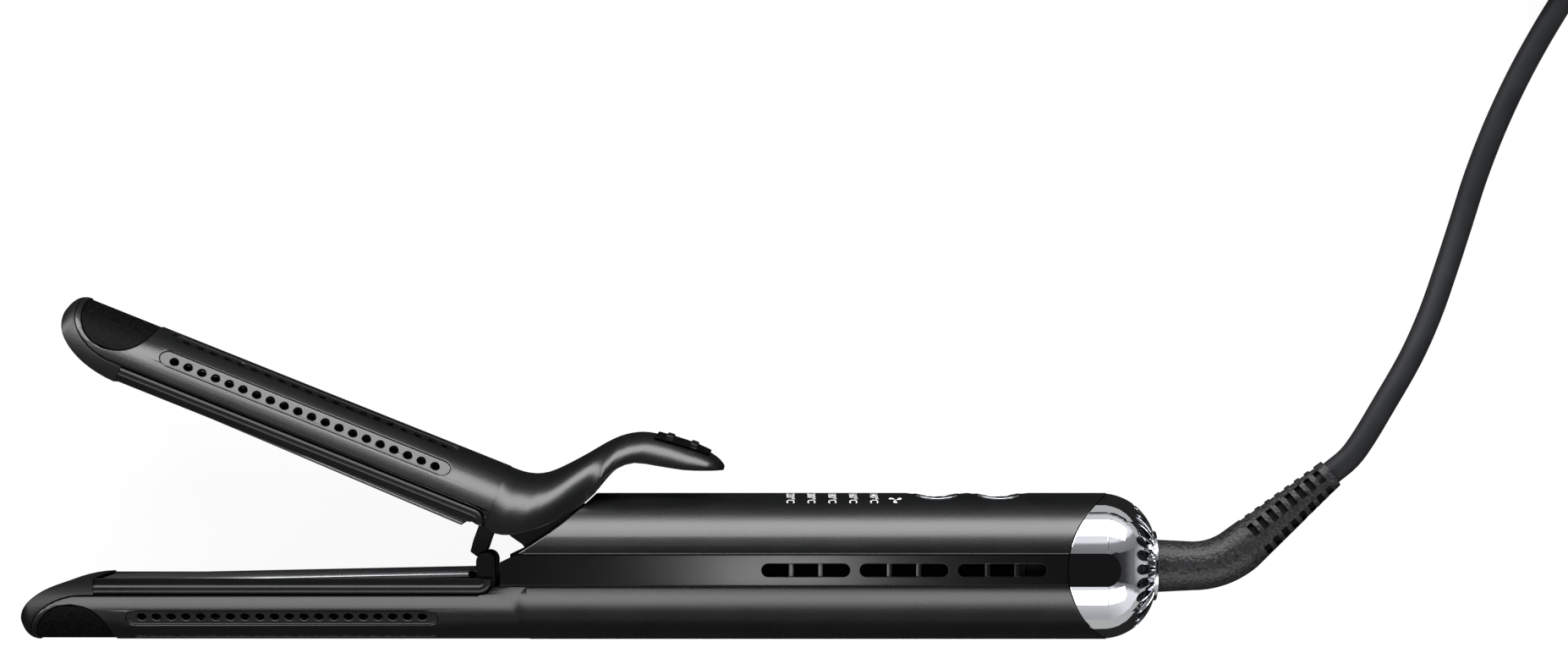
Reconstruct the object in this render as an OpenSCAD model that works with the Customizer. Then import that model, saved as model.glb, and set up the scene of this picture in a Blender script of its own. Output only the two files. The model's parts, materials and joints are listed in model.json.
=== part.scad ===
// Two-in-one hair styler: a clamp barrel that opens like a curling tong, with two
// heated plates facing each other inside it, a blower in the handle and a swivel lead.
// The tool lies on its side, on the two narrow lands beside its lower side band.
// Everything is drawn in the tool's own frame (X from the tip to the end cap, Y towards
// the thumb lever, the handle's axis at Y = Z = 0) and set down on the floor at the end.

/* [Barrel] */
// Outer radius of the closed barrel
barrel_r = 17.5; // [16.5:0.1:17.6]
// Wall of the two barrel shells
barrel_wall = 1.6; // [1.2:0.1:2]
// Radius of the round edge at the barrel's tip
tip_edge_r = 4; // [2:0.5:5]
// Height of each shell's long edge above the parting plane
seam_h = 4.9; // [4.5:0.1:5.5]
// Gap left at a moulded seam
seam_gap = 0.15; // [0.05:0.05:0.3]

/* [Vents] */
// Number of air holes in one row
vent_count = 20; // [8:1:21]
// Distance from one air hole to the next
vent_pitch = 3.88; // [3:0.02:4]
// Radius of an air hole
vent_r = 1.15; // [0.5:0.05:1.3]
// Width of the sunken track round a row of holes
track_w = 5; // [3.5:0.1:5.5]
// Depth of the sunken track
track_depth = 0.6; // [0.3:0.05:0.8]

/* [Heated plates] */
// Length of a heated plate
plate_len = 97.3; // [90:0.1:97.5]
// Half width of a heated plate
plate_half_w = 12.9; // [11:0.1:13]
// Thickness of a heated plate
plate_t = 2.8; // [2:0.1:3]
// Tilt of a sprung plate while the clamp is open
plate_tilt = 1.2; // [0.6:0.1:1.3]

/* [Handle] */
// Outer radius of the handle
handle_r = 19.4; // [19.2:0.1:20]
// Wall of the handle shells
handle_wall = 1.6; // [1.3:0.1:1.8]
// Depth of the flat lands beside the side bands
land_cut = 0.6; // [0.5:0.05:0.7]
// Half height of a side band
band_half_h = 4; // [3.5:0.1:4.2]
// Thickness of a side band
band_t = 0.75; // [0.5:0.05:0.8]
// Length of one vent slot in a side band
slot_len = 23; // [15:0.5:24]
// Height of a vent slot
slot_h = 3.4; // [2:0.1:4]

/* [Buttons] */
// Radius of a button
button_r = 6.2; // [5:0.1:6.5]
// Running gap round a button
button_gap = 0.3; // [0.2:0.05:0.5]
// Travel of a button
button_travel = 0.5; // [0.3:0.1:0.8]

/* [End cap] */
// Radius of the dome's flat end
cap_end_r = 8.6; // [8.4:0.1:9.5]
// Number of air slots round the dome
cap_slots = 26; // [16:1:28]
// Wall of the dome
cap_wall = 1.8; // [1.4:0.1:2.2]

/* [Clamp] */
// Angle of the clamp while it is open
open_angle = 21.8; // [15:0.1:21.8]
// Wall of the lever
lever_wall = 2; // [1.6:0.1:2.4]
// Radius of the hinge pin
pin_r = 1.5; // [1:0.1:2]

/* [Lead] */
// Diameter of the lead
cord_d = 6.5; // [5:0.1:7]
// Distance between neighbouring turns of the coiled lead
turn_pitch = 7.1; // [7.05:0.05:7.6]
// Inner radius of the coiled lead, at the middle of its tube
coil_inner_r = 26; // [25:0.5:30]

/* [Hidden] */
$fn = 96;
eps = 0.01;
far = 60;

// Barrel and handle nearly share one line along their lower side.
parting_y = barrel_r - handle_r + 0.1;
barrel_inner_r = barrel_r - barrel_wall;
barrel_top = parting_y + barrel_r;
handle_inner_r = handle_r - handle_wall;
land_z = handle_r - land_cut;

// Places along the barrel
tip_x = 1.8;
plate_x0 = 23.1;
plate_x1 = plate_x0 + plate_len;
cavity_x = 28;
track_x0 = 30.4;
vent_x0 = 34.5;
vent_rows = [-50, -16, 16, 50];

// Places along the handle, all behind the plates
arm_end_x = plate_x1 + 5.6;
blend_end_x = arm_end_x + 10;
blend_rise = 2.3;
mouth_x = arm_end_x + 3;
mouth_low_y = 1.6;
mouth_side_x = mouth_x + 4.2;
lip_x = mouth_x + 21;
lip_wall = 0.9;
cap_seam_x = arm_end_x + 151.5;
cap_seam_r = 21.8;
dome_x = cap_seam_x + 10.5;
tool_end_x = dome_x + 14;

// Heated plates and their rocking point
plate_face = 0.15;
plate_chamfer = 0.6;
rock_x = 62;
rock_h = 3;

// Clamp hinge
pivot_x = arm_end_x + 30.6;
pivot_y = 9.2;
boss_r = 4;
ear_z = [5, 8];
arm_z = [8.3, 10.8];

// Tip pads
pad_x = 16;
pad_r = 10.1;
pad_depth = 1.4;
pad_sunk = 0.3;

// Buttons
power_x = arm_end_x + 117.7;
mode_x = power_x + 16.4;
board_y = [handle_r - 10.8, handle_r - 9.2];

// Side bands
slot_x0 = arm_end_x + 71.4;
slot_pitch = 25.65;
band_sunk = 0.3;
rib_w = 1.5;

// Strain relief: straight, one bend, then a tapered sleeve
relief_r = [7, 6.5, 4.05];
relief_straight = 10;
relief_bend_r = 20;
relief_bend = 40;
relief_taper = 31;
relief_end = [tool_end_x + relief_straight + relief_bend_r * sin(relief_bend)
    + relief_taper * cos(relief_bend),
    relief_bend_r * (1 - cos(relief_bend)) + relief_taper * sin(relief_bend)];

// The floor's place in the tool's frame: half way along the tool and across the open clamp
tip_reach = [pivot_x - tip_x - tip_edge_r, barrel_top - tip_edge_r - pivot_y];
high_y = pivot_y + tip_reach[0] * sin(open_angle) + tip_reach[1] * cos(open_angle) + tip_edge_r;
floor_place = [-(relief_end[0] + 2.6 + tip_x) / 2, (handle_r - high_y) / 2, land_z];

// ---- helpers ----

function arc(c, r, a0, a1, n) =
    [for (i = [0:n]) c + r * [cos(a0 + (a1 - a0) * i / n), sin(a0 + (a1 - a0) * i / n)]];

function ellipse_arc(c, r, a0, a1, n) =
    [for (i = [0:n]) let (a = a0 + (a1 - a0) * i / n) [c[0] + r[0] * cos(a), c[1] + r[1] * sin(a)]];

module place() translate(floor_place) children();

module rod_x(r, x0, x1, y = 0) translate([x0, y, 0]) rotate([0, 90, 0]) cylinder(r = r, h = x1 - x0);

module slab(points, z0, z1) translate([0, 0, z0]) linear_extrude(z1 - z0) polygon(points);

module box(x, y, z) translate([x[0], y[0], z[0]]) cube([x[1] - x[0], y[1] - y[0], z[1] - z[0]]);

// Both sides of the tool, for what sits at plus and minus Z
module both_sides() {
    children();
    mirror([0, 0, 1]) children();
}

// A barrel half is drawn with Y as its height above the parting plane.
module as_upper() translate([0, parting_y, 0]) children();
module as_lower() translate([0, parting_y, 0]) mirror([0, 1, 0]) children();

// Turns the closed clamp to its open rest pose
module opened() translate([pivot_x, pivot_y, 0]) rotate([0, 0, -open_angle])
    translate([-pivot_x, -pivot_y, 0]) children();

// Tilts a plate on its rocking point
module rocked() translate([rock_x, rock_h, 0]) rotate([0, 0, -plate_tilt])
    translate([-rock_x, -rock_h, 0]) children();

// ---- barrel halves ----

module barrel_rod(r, edge, x1) rotate([0, 90, 0]) rotate_extrude() translate([0, tip_x]) {
    translate([r - edge, edge]) circle(r = edge);
    square([r - edge, x1 - tip_x]);
    translate([0, edge]) square([r, x1 - tip_x - edge]);
}

// Side outline of the nose: a quarter of an ellipse down to the parting plane
nose_h = 0.4;
nose_reach = [21.5, 13.6];
function nose_line() = ellipse_arc([tip_x + nose_reach[0], nose_h + nose_reach[1]],
    nose_reach, -93, -180, 14);
function nose_keep(x1) = concat([[x1, nose_h]], nose_line(), [[tip_x, far], [x1, far]]);

// Side outline of the shell inside the nose's black rim
front_reach = [15.8, 12.6];
front_x = 4.2;
function shell_front(h) = ellipse_arc([front_x + front_reach[0], h + front_reach[1]],
    front_reach, -180, -90, 12);

module vents() {
    for (a = vent_rows) rotate([a, 0, 0]) {
        for (i = [0:vent_count - 1]) translate([vent_x0 + vent_pitch * i, barrel_inner_r - 2, 0])
            rotate([-90, 0, 0]) cylinder(r = vent_r, h = 6, $fn = 24);
        track();
    }
}

// Sunken round-ended track round one row of holes
module track() translate([0, barrel_r - track_depth, 0]) rotate([-90, 0, 0]) linear_extrude(3) {
    x0 = track_x0 + track_w / 2;
    x1 = vent_x0 * 2 - track_x0 + vent_pitch * (vent_count - 1) - track_w / 2;
    translate([x0, -track_w / 2]) square([x1 - x0, track_w]);
    translate([x0, 0]) circle(d = track_w);
    translate([x1, 0]) circle(d = track_w);
}

module pad_zone(grow, depth) difference() {
    translate([pad_x, barrel_r, -far]) cylinder(r = pad_r + grow, h = 2 * far);
    barrel_rod(barrel_r - depth, tip_edge_r - 1, 60);
}

module tip_pad() color("#191a1b") intersection() {
    barrel_rod(barrel_r - pad_sunk, tip_edge_r, 40);
    pad_zone(-seam_gap, pad_depth);
    slab(concat(shell_front(seam_h), [[40, seam_h], [40, far], [front_x, far]]), -far, far);
}

// Black frame that closes a barrel half: nose rim, rails with a round bead, end block
bead_r = 1.35;
bead_h = 3.3;
bead_z = 15.75;
ridge_z = [13.2, 14.6];
ridge_h = 0.6;
frame_top = seam_h - seam_gap;
rail_z0 = 10.5;
rail_end_x = [plate_x1 + 2.9, plate_x1 + 1.9];
turn_h = 0.9;

module rail_section() {
    translate([ridge_z[0], ridge_h]) square([ridge_z[1] - ridge_z[0], frame_top - ridge_h]);
    translate([bead_z, bead_h]) circle(r = bead_r, $fn = 32);
    translate([rail_z0, rock_h + 0.4]) square([bead_z - rail_z0, frame_top - rock_h - 0.4]);
    translate([ridge_z[1] - eps, bead_h - 0.9]) square([bead_z - ridge_z[1], 1.8]);
}

// The bead and the ridge turn down to the parting plane behind the plate.
module rail_turn() {
    rotate_extrude(angle = 90) {
        translate([bead_h - turn_h, bead_z]) circle(r = bead_r, $fn = 32);
        translate([0, ridge_z[0]]) square([frame_top - turn_h - 0.4, ridge_z[1] - ridge_z[0]]);
        translate([bead_h - turn_h - 0.9, ridge_z[1] - eps]) square([1.8, bead_z - ridge_z[1]]);
    }
}

module barrel_frame(end_x, inner_z) {
    difference() {
        intersection() {
            barrel_rod(barrel_r, tip_edge_r, 40);
            slab(nose_keep(22.5), -far, far);
        }
        slab(concat(shell_front(frame_top),
            [[40, frame_top], [40, far], [front_x, far]]), -far, far);
    }
    both_sides() {
        translate([22, 0, 0]) mirror([0, 0, 1]) rotate([0, 90, 0]) linear_extrude(end_x - 22)
            rail_section();
        translate([end_x, turn_h, 0]) rail_turn();
        box([plate_x1 + 0.6, end_x], [ridge_h + 0.6, frame_top], [inner_z, ridge_z[1]]);
        box([cavity_x + 0.2, end_x], [frame_top - eps, frame_top + 1.6], [ridge_z[0], ridge_z[0] + 1]);
    }
}

// Cross rib that a plate rocks on
module rock_rib() {
    box([rock_x - 1.5, rock_x + 1.5], [frame_top - 1.3, frame_top], [-rail_z0 - 1, rail_z0 + 1]);
}

module heated_plate() color("#2b2c2e") translate([plate_x0, 0, 0]) rotate([0, 90, 0])
    linear_extrude(plate_len) polygon([
        [-plate_half_w + plate_chamfer, plate_face], [plate_half_w - plate_chamfer, plate_face],
        [plate_half_w, plate_face + plate_chamfer], [plate_half_w, plate_face + plate_t / 2],
        [rail_z0 - 1, plate_face + plate_t / 2], [rail_z0 - 1, plate_face + plate_t],
        [1 - rail_z0, plate_face + plate_t], [1 - rail_z0, plate_face + plate_t / 2],
        [-plate_half_w, plate_face + plate_t / 2], [-plate_half_w, plate_face + plate_chamfer]]);

heater_x = [[plate_x0 + 6.9, rock_x - 3], [rock_x + 3, plate_x1 - 12.8]];
heater_t = 2.2;
heater_half_w = 7.5;
module heater() color("#d8c79a") for (x = heater_x)
    box(x, [plate_face + plate_t, plate_face + plate_t + heater_t], [-heater_half_w, heater_half_w]);

// Leaf spring under a plate's rear half
spring_x = [plate_x1 - 42.4, plate_x1 - 14.4];
module plate_spring() color("#9b9ea3") {
    h = plate_face + plate_t + heater_t + 0.9;
    box(spring_x, [h, h + 0.4], [-3, 3]);
    box([spring_x[1] - 5, spring_x[1]], [h, h + 0.4], [-13, 13]);
    both_sides() box([spring_x[1] - 5, spring_x[1]], [frame_top, h + eps], [rail_z0 + 0.3, 13]);
}

// ---- lower half and handle ----

// Side outline of the lower shell's long edge
function lower_edge() = concat(
    [for (p = shell_front(seam_h)) [p[0], parting_y - p[1]]],
    arc([rail_end_x[0], parting_y - turn_h], seam_h - turn_h, -90, -30, 8),
    [[mouth_x + 0.2, -band_half_h - seam_gap]]);

// The handle swells out of the barrel on a short cone.
module handle_core(r) intersection() {
    rotate([0, 90, 0]) rotate_extrude() polygon([[0, arm_end_x], [r - blend_rise, arm_end_x],
        [r, blend_end_x], [r, tool_end_x], [0, tool_end_x]]);
    box([0, tool_end_x], [-far, far], [-land_z, land_z]);
}

module cap_cut(gap) translate([cap_seam_x + cap_seam_r, 0, -far]) cylinder(r = cap_seam_r + gap, h = 2 * far);

module behind_cap() box([cap_seam_x + cap_seam_r, tool_end_x + 1], [-far, far], [-far, far]);

module lower_shell() color("#2e2f31") place() difference() {
    intersection() {
        union() {
            as_lower() barrel_rod(barrel_r, tip_edge_r, blend_end_x);
            handle_core(handle_r);
        }
        slab(concat(lower_edge(), [[tool_end_x, -band_half_h - seam_gap], [tool_end_x, -far],
            [front_x, -far]]), -far, far);
    }
    as_lower() rod_x(barrel_inner_r, cavity_x, blend_end_x);
    handle_core(handle_inner_r);
    as_lower() vents();
    as_lower() pad_zone(0, pad_depth);
    cap_cut(seam_gap);
    behind_cap();
}

module lower_tip_pad() place() as_lower() tip_pad();

horn_x = [plate_x1 + 1.5, plate_x1 + 6.6];
horn_z = [5.2, 8];
horn_y = 4;
module lower_frame() color("#1c1d1e") place() {
    as_lower() barrel_frame(rail_end_x[0], 8.6);
    as_lower() rock_rib();
    both_sides() {
        box([horn_x[0], horn_x[1]], [parting_y - frame_top, horn_y - 2.5], horn_z);
        translate([(horn_x[0] + horn_x[1]) / 2, horn_y - 2.5, horn_z[0]])
            cylinder(d = horn_x[1] - horn_x[0], h = horn_z[1] - horn_z[0]);
        box([horn_x[0], horn_x[1]], [parting_y - frame_top, parting_y - 2.4], [horn_z[0], ridge_z[0]]);
    }
}

// The handle's slanted mouth, seen from the side
function mouth() = concat([[mouth_x, -far], [mouth_x, mouth_low_y]],
    arc([mouth_x - 48.5, 94.95], 105, -62.5, -42, 8), [[mouth_x + 31, far]]);

module upper_shell() color("#2e2f31") place() difference() {
    intersection() {
        handle_core(handle_r);
        slab(concat([[mouth_side_x, band_half_h + seam_gap]],
            [for (p = mouth()) if (p[1] > band_half_h + seam_gap) p],
            [[tool_end_x, far], [tool_end_x, band_half_h + seam_gap]]), -far, far);
    }
    handle_core(handle_inner_r);
    rod_x(handle_r - lip_wall, mouth_x, lip_x);
    for (x = [power_x, mode_x]) {
        translate([x, 0, 0]) rotate([-90, 0, 0]) cylinder(r = button_r + button_gap, h = far);
        translate([x, handle_r + 24.6, 0]) sphere(r = 26);
    }
    cap_cut(seam_gap);
    behind_cap();
}

module slot_shape(h, l) {
    translate([h / 2, -h / 2]) square([l - h, h]);
    translate([h / 2, 0]) circle(d = h, $fn = 32);
    translate([l - h / 2, 0]) circle(d = h, $fn = 32);
}

module side_bands() color("#141516") place() both_sides() difference() {
    outer_z = land_z - band_sunk;
    box([mouth_x, tool_end_x], [-band_half_h, band_half_h], [outer_z - band_t, outer_z]);
    slab([[mouth_x - 1, mouth_low_y], [mouth_x - 1, far], [mouth_x + 11, far],
        [mouth_x + 4, band_half_h]], 0, far);
    for (i = [0:2]) translate([slot_x0 + slot_pitch * i, 0, 0]) difference() {
        translate([0, 0, 1]) linear_extrude(far) slot_shape(slot_h, slot_len);
        for (k = [1, 2]) box([slot_len * k / 3 - rib_w / 2, slot_len * k / 3 + rib_w / 2],
            [-far, far], [0, outer_z - band_t / 2]);
    }
    cap_cut(seam_gap);
    behind_cap();
}

// ---- end cap ----

dome_r = 14.5;
// Half section of the dome, with its radius along X and the tool's length along Y
module dome_section(r, x0, x1) intersection() {
    union() {
        translate([0, x0]) square([r, dome_x - x0]);
        translate([handle_r - dome_r, dome_x - 0.5]) circle(r = dome_r - (handle_r - r));
        translate([0, x0]) square([handle_r - dome_r + 3, x1 - x0]);
    }
    translate([0, x0]) square([r, x1 - x0]);
}

module dome(r, x0, x1) rotate([0, 90, 0]) rotate_extrude() dome_section(r, x0, x1);

cap_slot_r = [cap_end_r + 1, handle_r - 4];
module cap_slot() linear_extrude(30) {
    translate([cap_slot_r[1], 0]) circle(r = 1.4, $fn = 32);
    polygon([[cap_slot_r[0], -0.45], [cap_slot_r[1], -1.4], [cap_slot_r[1], 1.4], [cap_slot_r[0], 0.45]]);
}

module end_cap() color("#d9dce0") place() difference() {
    union() {
        difference() {
            intersection() {
                dome(handle_r - 0.1, cap_seam_x - 1, tool_end_x);
                union() {
                    cap_cut(0);
                    behind_cap();
                }
                box([0, far * 10], [-far, far], [-land_z, land_z]);
            }
            dome(handle_r - cap_wall, cap_seam_x - 2, tool_end_x - cap_wall);
            for (i = [0:cap_slots - 1]) rotate([360 * (i + 0.5) / cap_slots, 0, 0])
                translate([tool_end_x - 13, 0, 0]) rotate([90, 0, 0]) rotate([0, 90, 0]) cap_slot();
        }
        rod_x(cap_end_r + 0.6, tool_end_x - 8, tool_end_x);
    }
    rod_x(relief_r[0] + 0.3, tool_end_x - 12, tool_end_x + 1);
}

filter_t = 1;
module intake_filter() color("#26272a") place() rotate([0, 90, 0]) rotate_extrude() difference() {
    dome_section(handle_r - cap_wall - 0.3, dome_x - 2, tool_end_x - cap_wall - 0.3);
    dome_section(handle_r - cap_wall - 0.3 - filter_t, dome_x - 8, tool_end_x - cap_wall - 0.3 - filter_t);
    square([cap_end_r + 0.9, tool_end_x]);
}

// ---- inside the handle ----

chassis_y = [-3.4, 2.5];
rear_wall_x = [tool_end_x - 21, tool_end_x - 18];
motor_wall_x = [tool_end_x - 38, tool_end_x - 35.8];
chassis_x = [arm_end_x + 16.5, rear_wall_x[1] - 1];
chassis_z = handle_inner_r - 0.3;
board_z = sqrt(pow(handle_inner_r, 2) - pow(board_y[1], 2)) - 0.8;
post_x = [slot_x0 + 7.6, slot_x0 + 32.6, slot_x0 + 58.6];
post_z = board_z - 2.3;
post_r = 1.9;
pocket_z = [post_z - post_r - 0.1, handle_inner_r - 1.2, 12];
module chassis() color("#3a3c3f") place() difference() {
    union() {
        difference() {
            intersection() {
                box(chassis_x, chassis_y, [-chassis_z, chassis_z]);
                rod_x(land_z - band_sunk - band_t - 0.2, 0, tool_end_x);
            }
            box([pivot_x + 11.4, motor_wall_x[0]], [-far, far], [-pocket_z[0], pocket_z[0]]);
            box([motor_wall_x[1] - 0.2, rear_wall_x[0]], [-far, far], [-pocket_z[1], pocket_z[1]]);
            both_sides() for (i = [0:2]) translate([slot_x0 + slot_pitch * i, 0, 0])
                box([0, slot_len], [-slot_h / 2, slot_h / 2], [pocket_z[2], far]);
        }
        difference() {
            rod_x(handle_inner_r - 0.5, rear_wall_x[0], rear_wall_x[1]);
            for (a = [0:60:300]) rotate([a, 0, 0]) translate([0, handle_inner_r - 5.2, 0])
                rod_x(2.4, rear_wall_x[0] - 1, rear_wall_x[1] + 1);
        }
        both_sides() {
            box([pivot_x - 6, pivot_x + 6], [0, pivot_y], ear_z);
            translate([pivot_x, pivot_y, ear_z[0]]) cylinder(r = boss_r, h = ear_z[1] - ear_z[0]);
            for (x = post_x) translate([x, 0, post_z]) rotate([-90, 0, 0])
                cylinder(r = post_r, h = board_y[0]);
        }
        box([pivot_x - 6, pivot_x + 6], [0, 2], [-ear_z[1], ear_z[1]]);
        intersection() {
            rod_x(handle_inner_r - 0.8, motor_wall_x[0], motor_wall_x[1]);
            box(motor_wall_x, [-14, 6], [-far, far]);
        }
    }
    translate([pivot_x, pivot_y, -20]) cylinder(r = pin_r + 0.02, h = 40);
    rod_x(4.2, motor_wall_x[0] - 2, motor_wall_x[1] + 1.8);
    rod_x(relief_r[0] + 0.5, rear_wall_x[0] - 1, rear_wall_x[1] + 2);
    both_sides() for (x = post_x) translate([x, 2.6, post_z]) rotate([-90, 0, 0])
        cylinder(r = 0.9, h = 10, $fn = 24);
}

module hinge_pin() color("#b9bcc0") place() {
    translate([pivot_x, pivot_y, -arm_z[1] - 0.3]) cylinder(r = pin_r, h = 2 * arm_z[1] + 0.6);
    both_sides() translate([pivot_x, pivot_y, arm_z[1] + 0.3]) cylinder(r = pin_r + 0.8, h = 0.8);
}

// Torsion spring wound round the pin, with one leg under the chassis and one in the clamp
wire_r = 0.5;
coil_r = pin_r + 1.2;
function spring_path(turns, n) = [for (i = [0:turns * n])
    [coil_r * cos(360 * i / n), coil_r * sin(360 * i / n), -3.6 + 7.2 * i / (turns * n)]];

function unit(v) = v / norm(v);
function tube_ring(p, d, r, sides, up) = let (s = unit(cross(up, d)), t = cross(d, s))
    [for (k = [0:sides - 1]) p + r * (cos(360 * k / sides) * s + sin(360 * k / sides) * t)];
function tube_points(path, r, sides, up) = let (last = len(path) - 1) [for (i = [0:last])
    each tube_ring(path[i], unit(path[min(i + 1, last)] - path[max(i - 1, 0)]), r, sides, up)];
function tube_faces(rings, sides) = concat(
    [for (i = [0:rings - 2], k = [0:sides - 1], half = [0, 1]) let (
        a = i * sides + k, b = i * sides + (k + 1) % sides)
        half == 0 ? [a, b, b + sides] : [a, b + sides, a + sides]],
    [for (k = [1:sides - 2]) [0, k + 1, k]],
    [for (k = [1:sides - 2]) let (o = (rings - 1) * sides) [o, o + k, o + k + 1]]);

module tube(path, r, sides, up = [0, 0, 1]) polyhedron(
    points = tube_points(path, r, sides, up), faces = tube_faces(len(path), sides), convexity = 8);

module hinge_spring() color("#c7cacd") place() translate([pivot_x, pivot_y, 0])
    tube(spring_path(6, 16), wire_r, 6);

module circuit_board() color("#1f4d36") place() difference() {
    box([slot_x0 + 0.6, mode_x + 2.4], board_y, [-board_z, board_z]);
    both_sides() for (x = post_x) translate([x, 0, post_z]) rotate([-90, 0, 0])
        cylinder(r = 1, h = far, $fn = 24);
}

switch_top = handle_r - 5.2;
module button_switches() color("#44474a") place() for (x = [power_x, mode_x]) {
    box([x - 3, x + 3], [board_y[1], board_y[1] + 2.6], [-3.2, 3.2]);
    translate([x, board_y[1] + 2.6 - eps, 0]) rotate([-90, 0, 0])
        cylinder(r = 1.5, h = switch_top - board_y[1] - 2.6 - button_travel - 0.1);
}

housing_x = [motor_wall_x[1] + 0.4, rear_wall_x[0] - 0.4];
housing_r = handle_inner_r - 1.5;
module fan_housing() color("#222326") place() difference() {
    rod_x(housing_r, housing_x[0], housing_x[1]);
    rod_x(housing_r - 1.3, housing_x[0] - 1, housing_x[1] - 1.2);
    rod_x(housing_r - 3.3, housing_x[0] - 1, housing_x[1] + 1);
}

fan_x = [motor_wall_x[1] + 1.8, motor_wall_x[1] + 11.8];
motor_r = board_y[0] - 1.2;
module fan_motor() color("#8f9296") place() {
    rod_x(motor_r, motor_wall_x[0] - 18, motor_wall_x[0] - 0.4);
    rod_x(4, motor_wall_x[0] - 0.5, motor_wall_x[1] - 0.2);
    rod_x(1, motor_wall_x[1] - 0.2, fan_x[1] - 1);
}

module impeller() color("#4a4d52") place() difference() {
    union() {
        rod_x(5, fan_x[0], fan_x[1]);
        for (a = [0:40:320]) rotate([a, 0, 0]) translate([(fan_x[0] + fan_x[1]) / 2, 0, 0]) rotate([0, 35, 0])
            box([-5, 5], [4.6, housing_r - 3.9], [-0.5, 0.5]);
    }
    rod_x(1.05, fan_x[0] - 1, fan_x[1] + 1);
}

module chassis_screws() color("#a4a7ab") place() both_sides() for (x = post_x)
    translate([x, 0, post_z]) rotate([-90, 0, 0]) {
        translate([0, 0, 4]) cylinder(r = 0.85, h = board_y[1] - 3);
        translate([0, 0, board_y[1]]) cylinder(r = 1.6, h = 1.1);
    }

module lower_plate_spring() place() as_lower() plate_spring();
module lower_plate() place() as_lower() rocked() heated_plate();
module lower_heater() place() as_lower() rocked() heater();

// ---- clamp ----

module upper_plate() place() opened() as_upper() rocked() heated_plate();
module upper_heater() place() opened() as_upper() rocked() heater();
module upper_plate_spring() place() opened() as_upper() plate_spring();

// The lever grows out of the shell: a hollow arch through stations that each hold a top
// point, a rim point, the arch's half width and its height to the widest place. Points
// are taken from the end and the top of the barrel.
lever_stations = [for (s = [
    [-0.5, -0.14, -0.5, -14.2, barrel_r - 0.04, barrel_r - 0.04],
    [0.4, -0.13, 0.5, -16.3, barrel_r - 0.04, barrel_r - 0.04],
    [3.7, -0.05, 3.6, -17, barrel_r - 0.04, barrel_r - 0.04],
    [7.2, 0.8, 7.4, -15.9, barrel_r - 0.2, barrel_r],
    [10.2, 2.5, 10.7, -13.7, barrel_r - 0.6, barrel_r - 0.2], [13, 5.2, 14, -11.2, 16, 17],
    [15.8, 8.4, 16.9, -8.3, 14.6, 16.6], [18.5, 11.7, 19.7, -5.2, 12.5, 16.2],
    [21.2, 15.2, 22, -1.4, 11, 15.5], [24, 18.2, 23.6, 2.5, 11.3, 14.5], [26.7, 20.2, 24.9, 6.5, 10.5, 13],
    [29.5, 21.6, 26.8, 10.3, 10, 11.5], [33, 22.5, 30.4, 13.3, 9.7, 10], [38, 23, 36.4, 14.8, 9.4, 9],
    [43.5, 23.3, 43, 16.3, 9, 7.6], [48, 23.1, 48.2, 18.1, 7.9, 5.4], [51, 22.3, 51.2, 19.3, 5.6, 3.3],
    [52.8, 21.2, 52.9, 20, 2.6, 1.5]])
    [arm_end_x + s[0], barrel_top + s[1], arm_end_x + s[2], barrel_top + s[3], s[4], s[5]]];
stations_per_span = 2;
arch_n = 12;

function spline(p, i, t) = let (
    a = p[max(i - 1, 0)], b = p[i], c = p[i + 1], d = p[min(i + 2, len(p) - 1)])
    0.5 * (2 * b + (c - a) * t + (2 * a - 5 * b + 4 * c - d) * t * t
        + (3 * b - 3 * c + d - a) * t * t * t);
function smooth(p, n) = concat([for (i = [0:len(p) - 2], k = [0:n - 1]) spline(p, i, k / n)],
    [p[len(p) - 1]]);

// One arch: a row of points over the top, from rim to rim
function arch(s, t, angle) = let (
    top = [s[0], s[1]], rim = [s[2], s[3]], h = norm(top - rim), up = (top - rim) / h,
    a = s[4] - t, b = s[5] - t, centre = top - s[5] * up,
    whole = acos(min(1, max(-1, (s[5] - h) / b))), reach = angle == 0 ? whole : angle)
    [for (k = [0:arch_n]) let (f = reach * (2 * k / arch_n - 1), q = centre + b * cos(f) * up)
        [q[0], q[1], a * sin(f)]];

function thin_wall(s) = min(lever_wall, s[5] * 0.55);
function shell_loop(s) = let (inner = arch(s, thin_wall(s), 0))
    concat(arch(s, 0, 0), [for (k = [arch_n:-1:0]) inner[k]]);
function pad_loop(s) = let (inner = arch(s, -0.05, 32))
    concat(arch(s, -0.7, 34), [for (k = [arch_n:-1:0]) inner[k]]);

// Skin through a row of loops, each an outer row and an inner row of points
module skin(loops) {
    m = 2 * (arch_n + 1);
    last = (len(loops) - 1) * m;
    polyhedron(points = [for (l = loops) each l], faces = concat(
        [for (i = [0:len(loops) - 2], k = [0:m - 1], half = [0, 1]) let (
            a = i * m + k, b = i * m + (k + 1) % m)
            half == 0 ? [a, b + m, b] : [a, a + m, b + m]],
        [for (k = [0:arch_n - 1], half = [0, 1]) let (c = m - 1 - k)
            half == 0 ? [k, k + 1, c] : [k + 1, c - 1, c]],
        [for (k = [0:arch_n - 1], half = [0, 1]) let (c = last + m - 1 - k)
            half == 0 ? [last + k, c, last + k + 1] : [last + k + 1, c, c - 1]]),
        convexity = 6);
}

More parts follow.
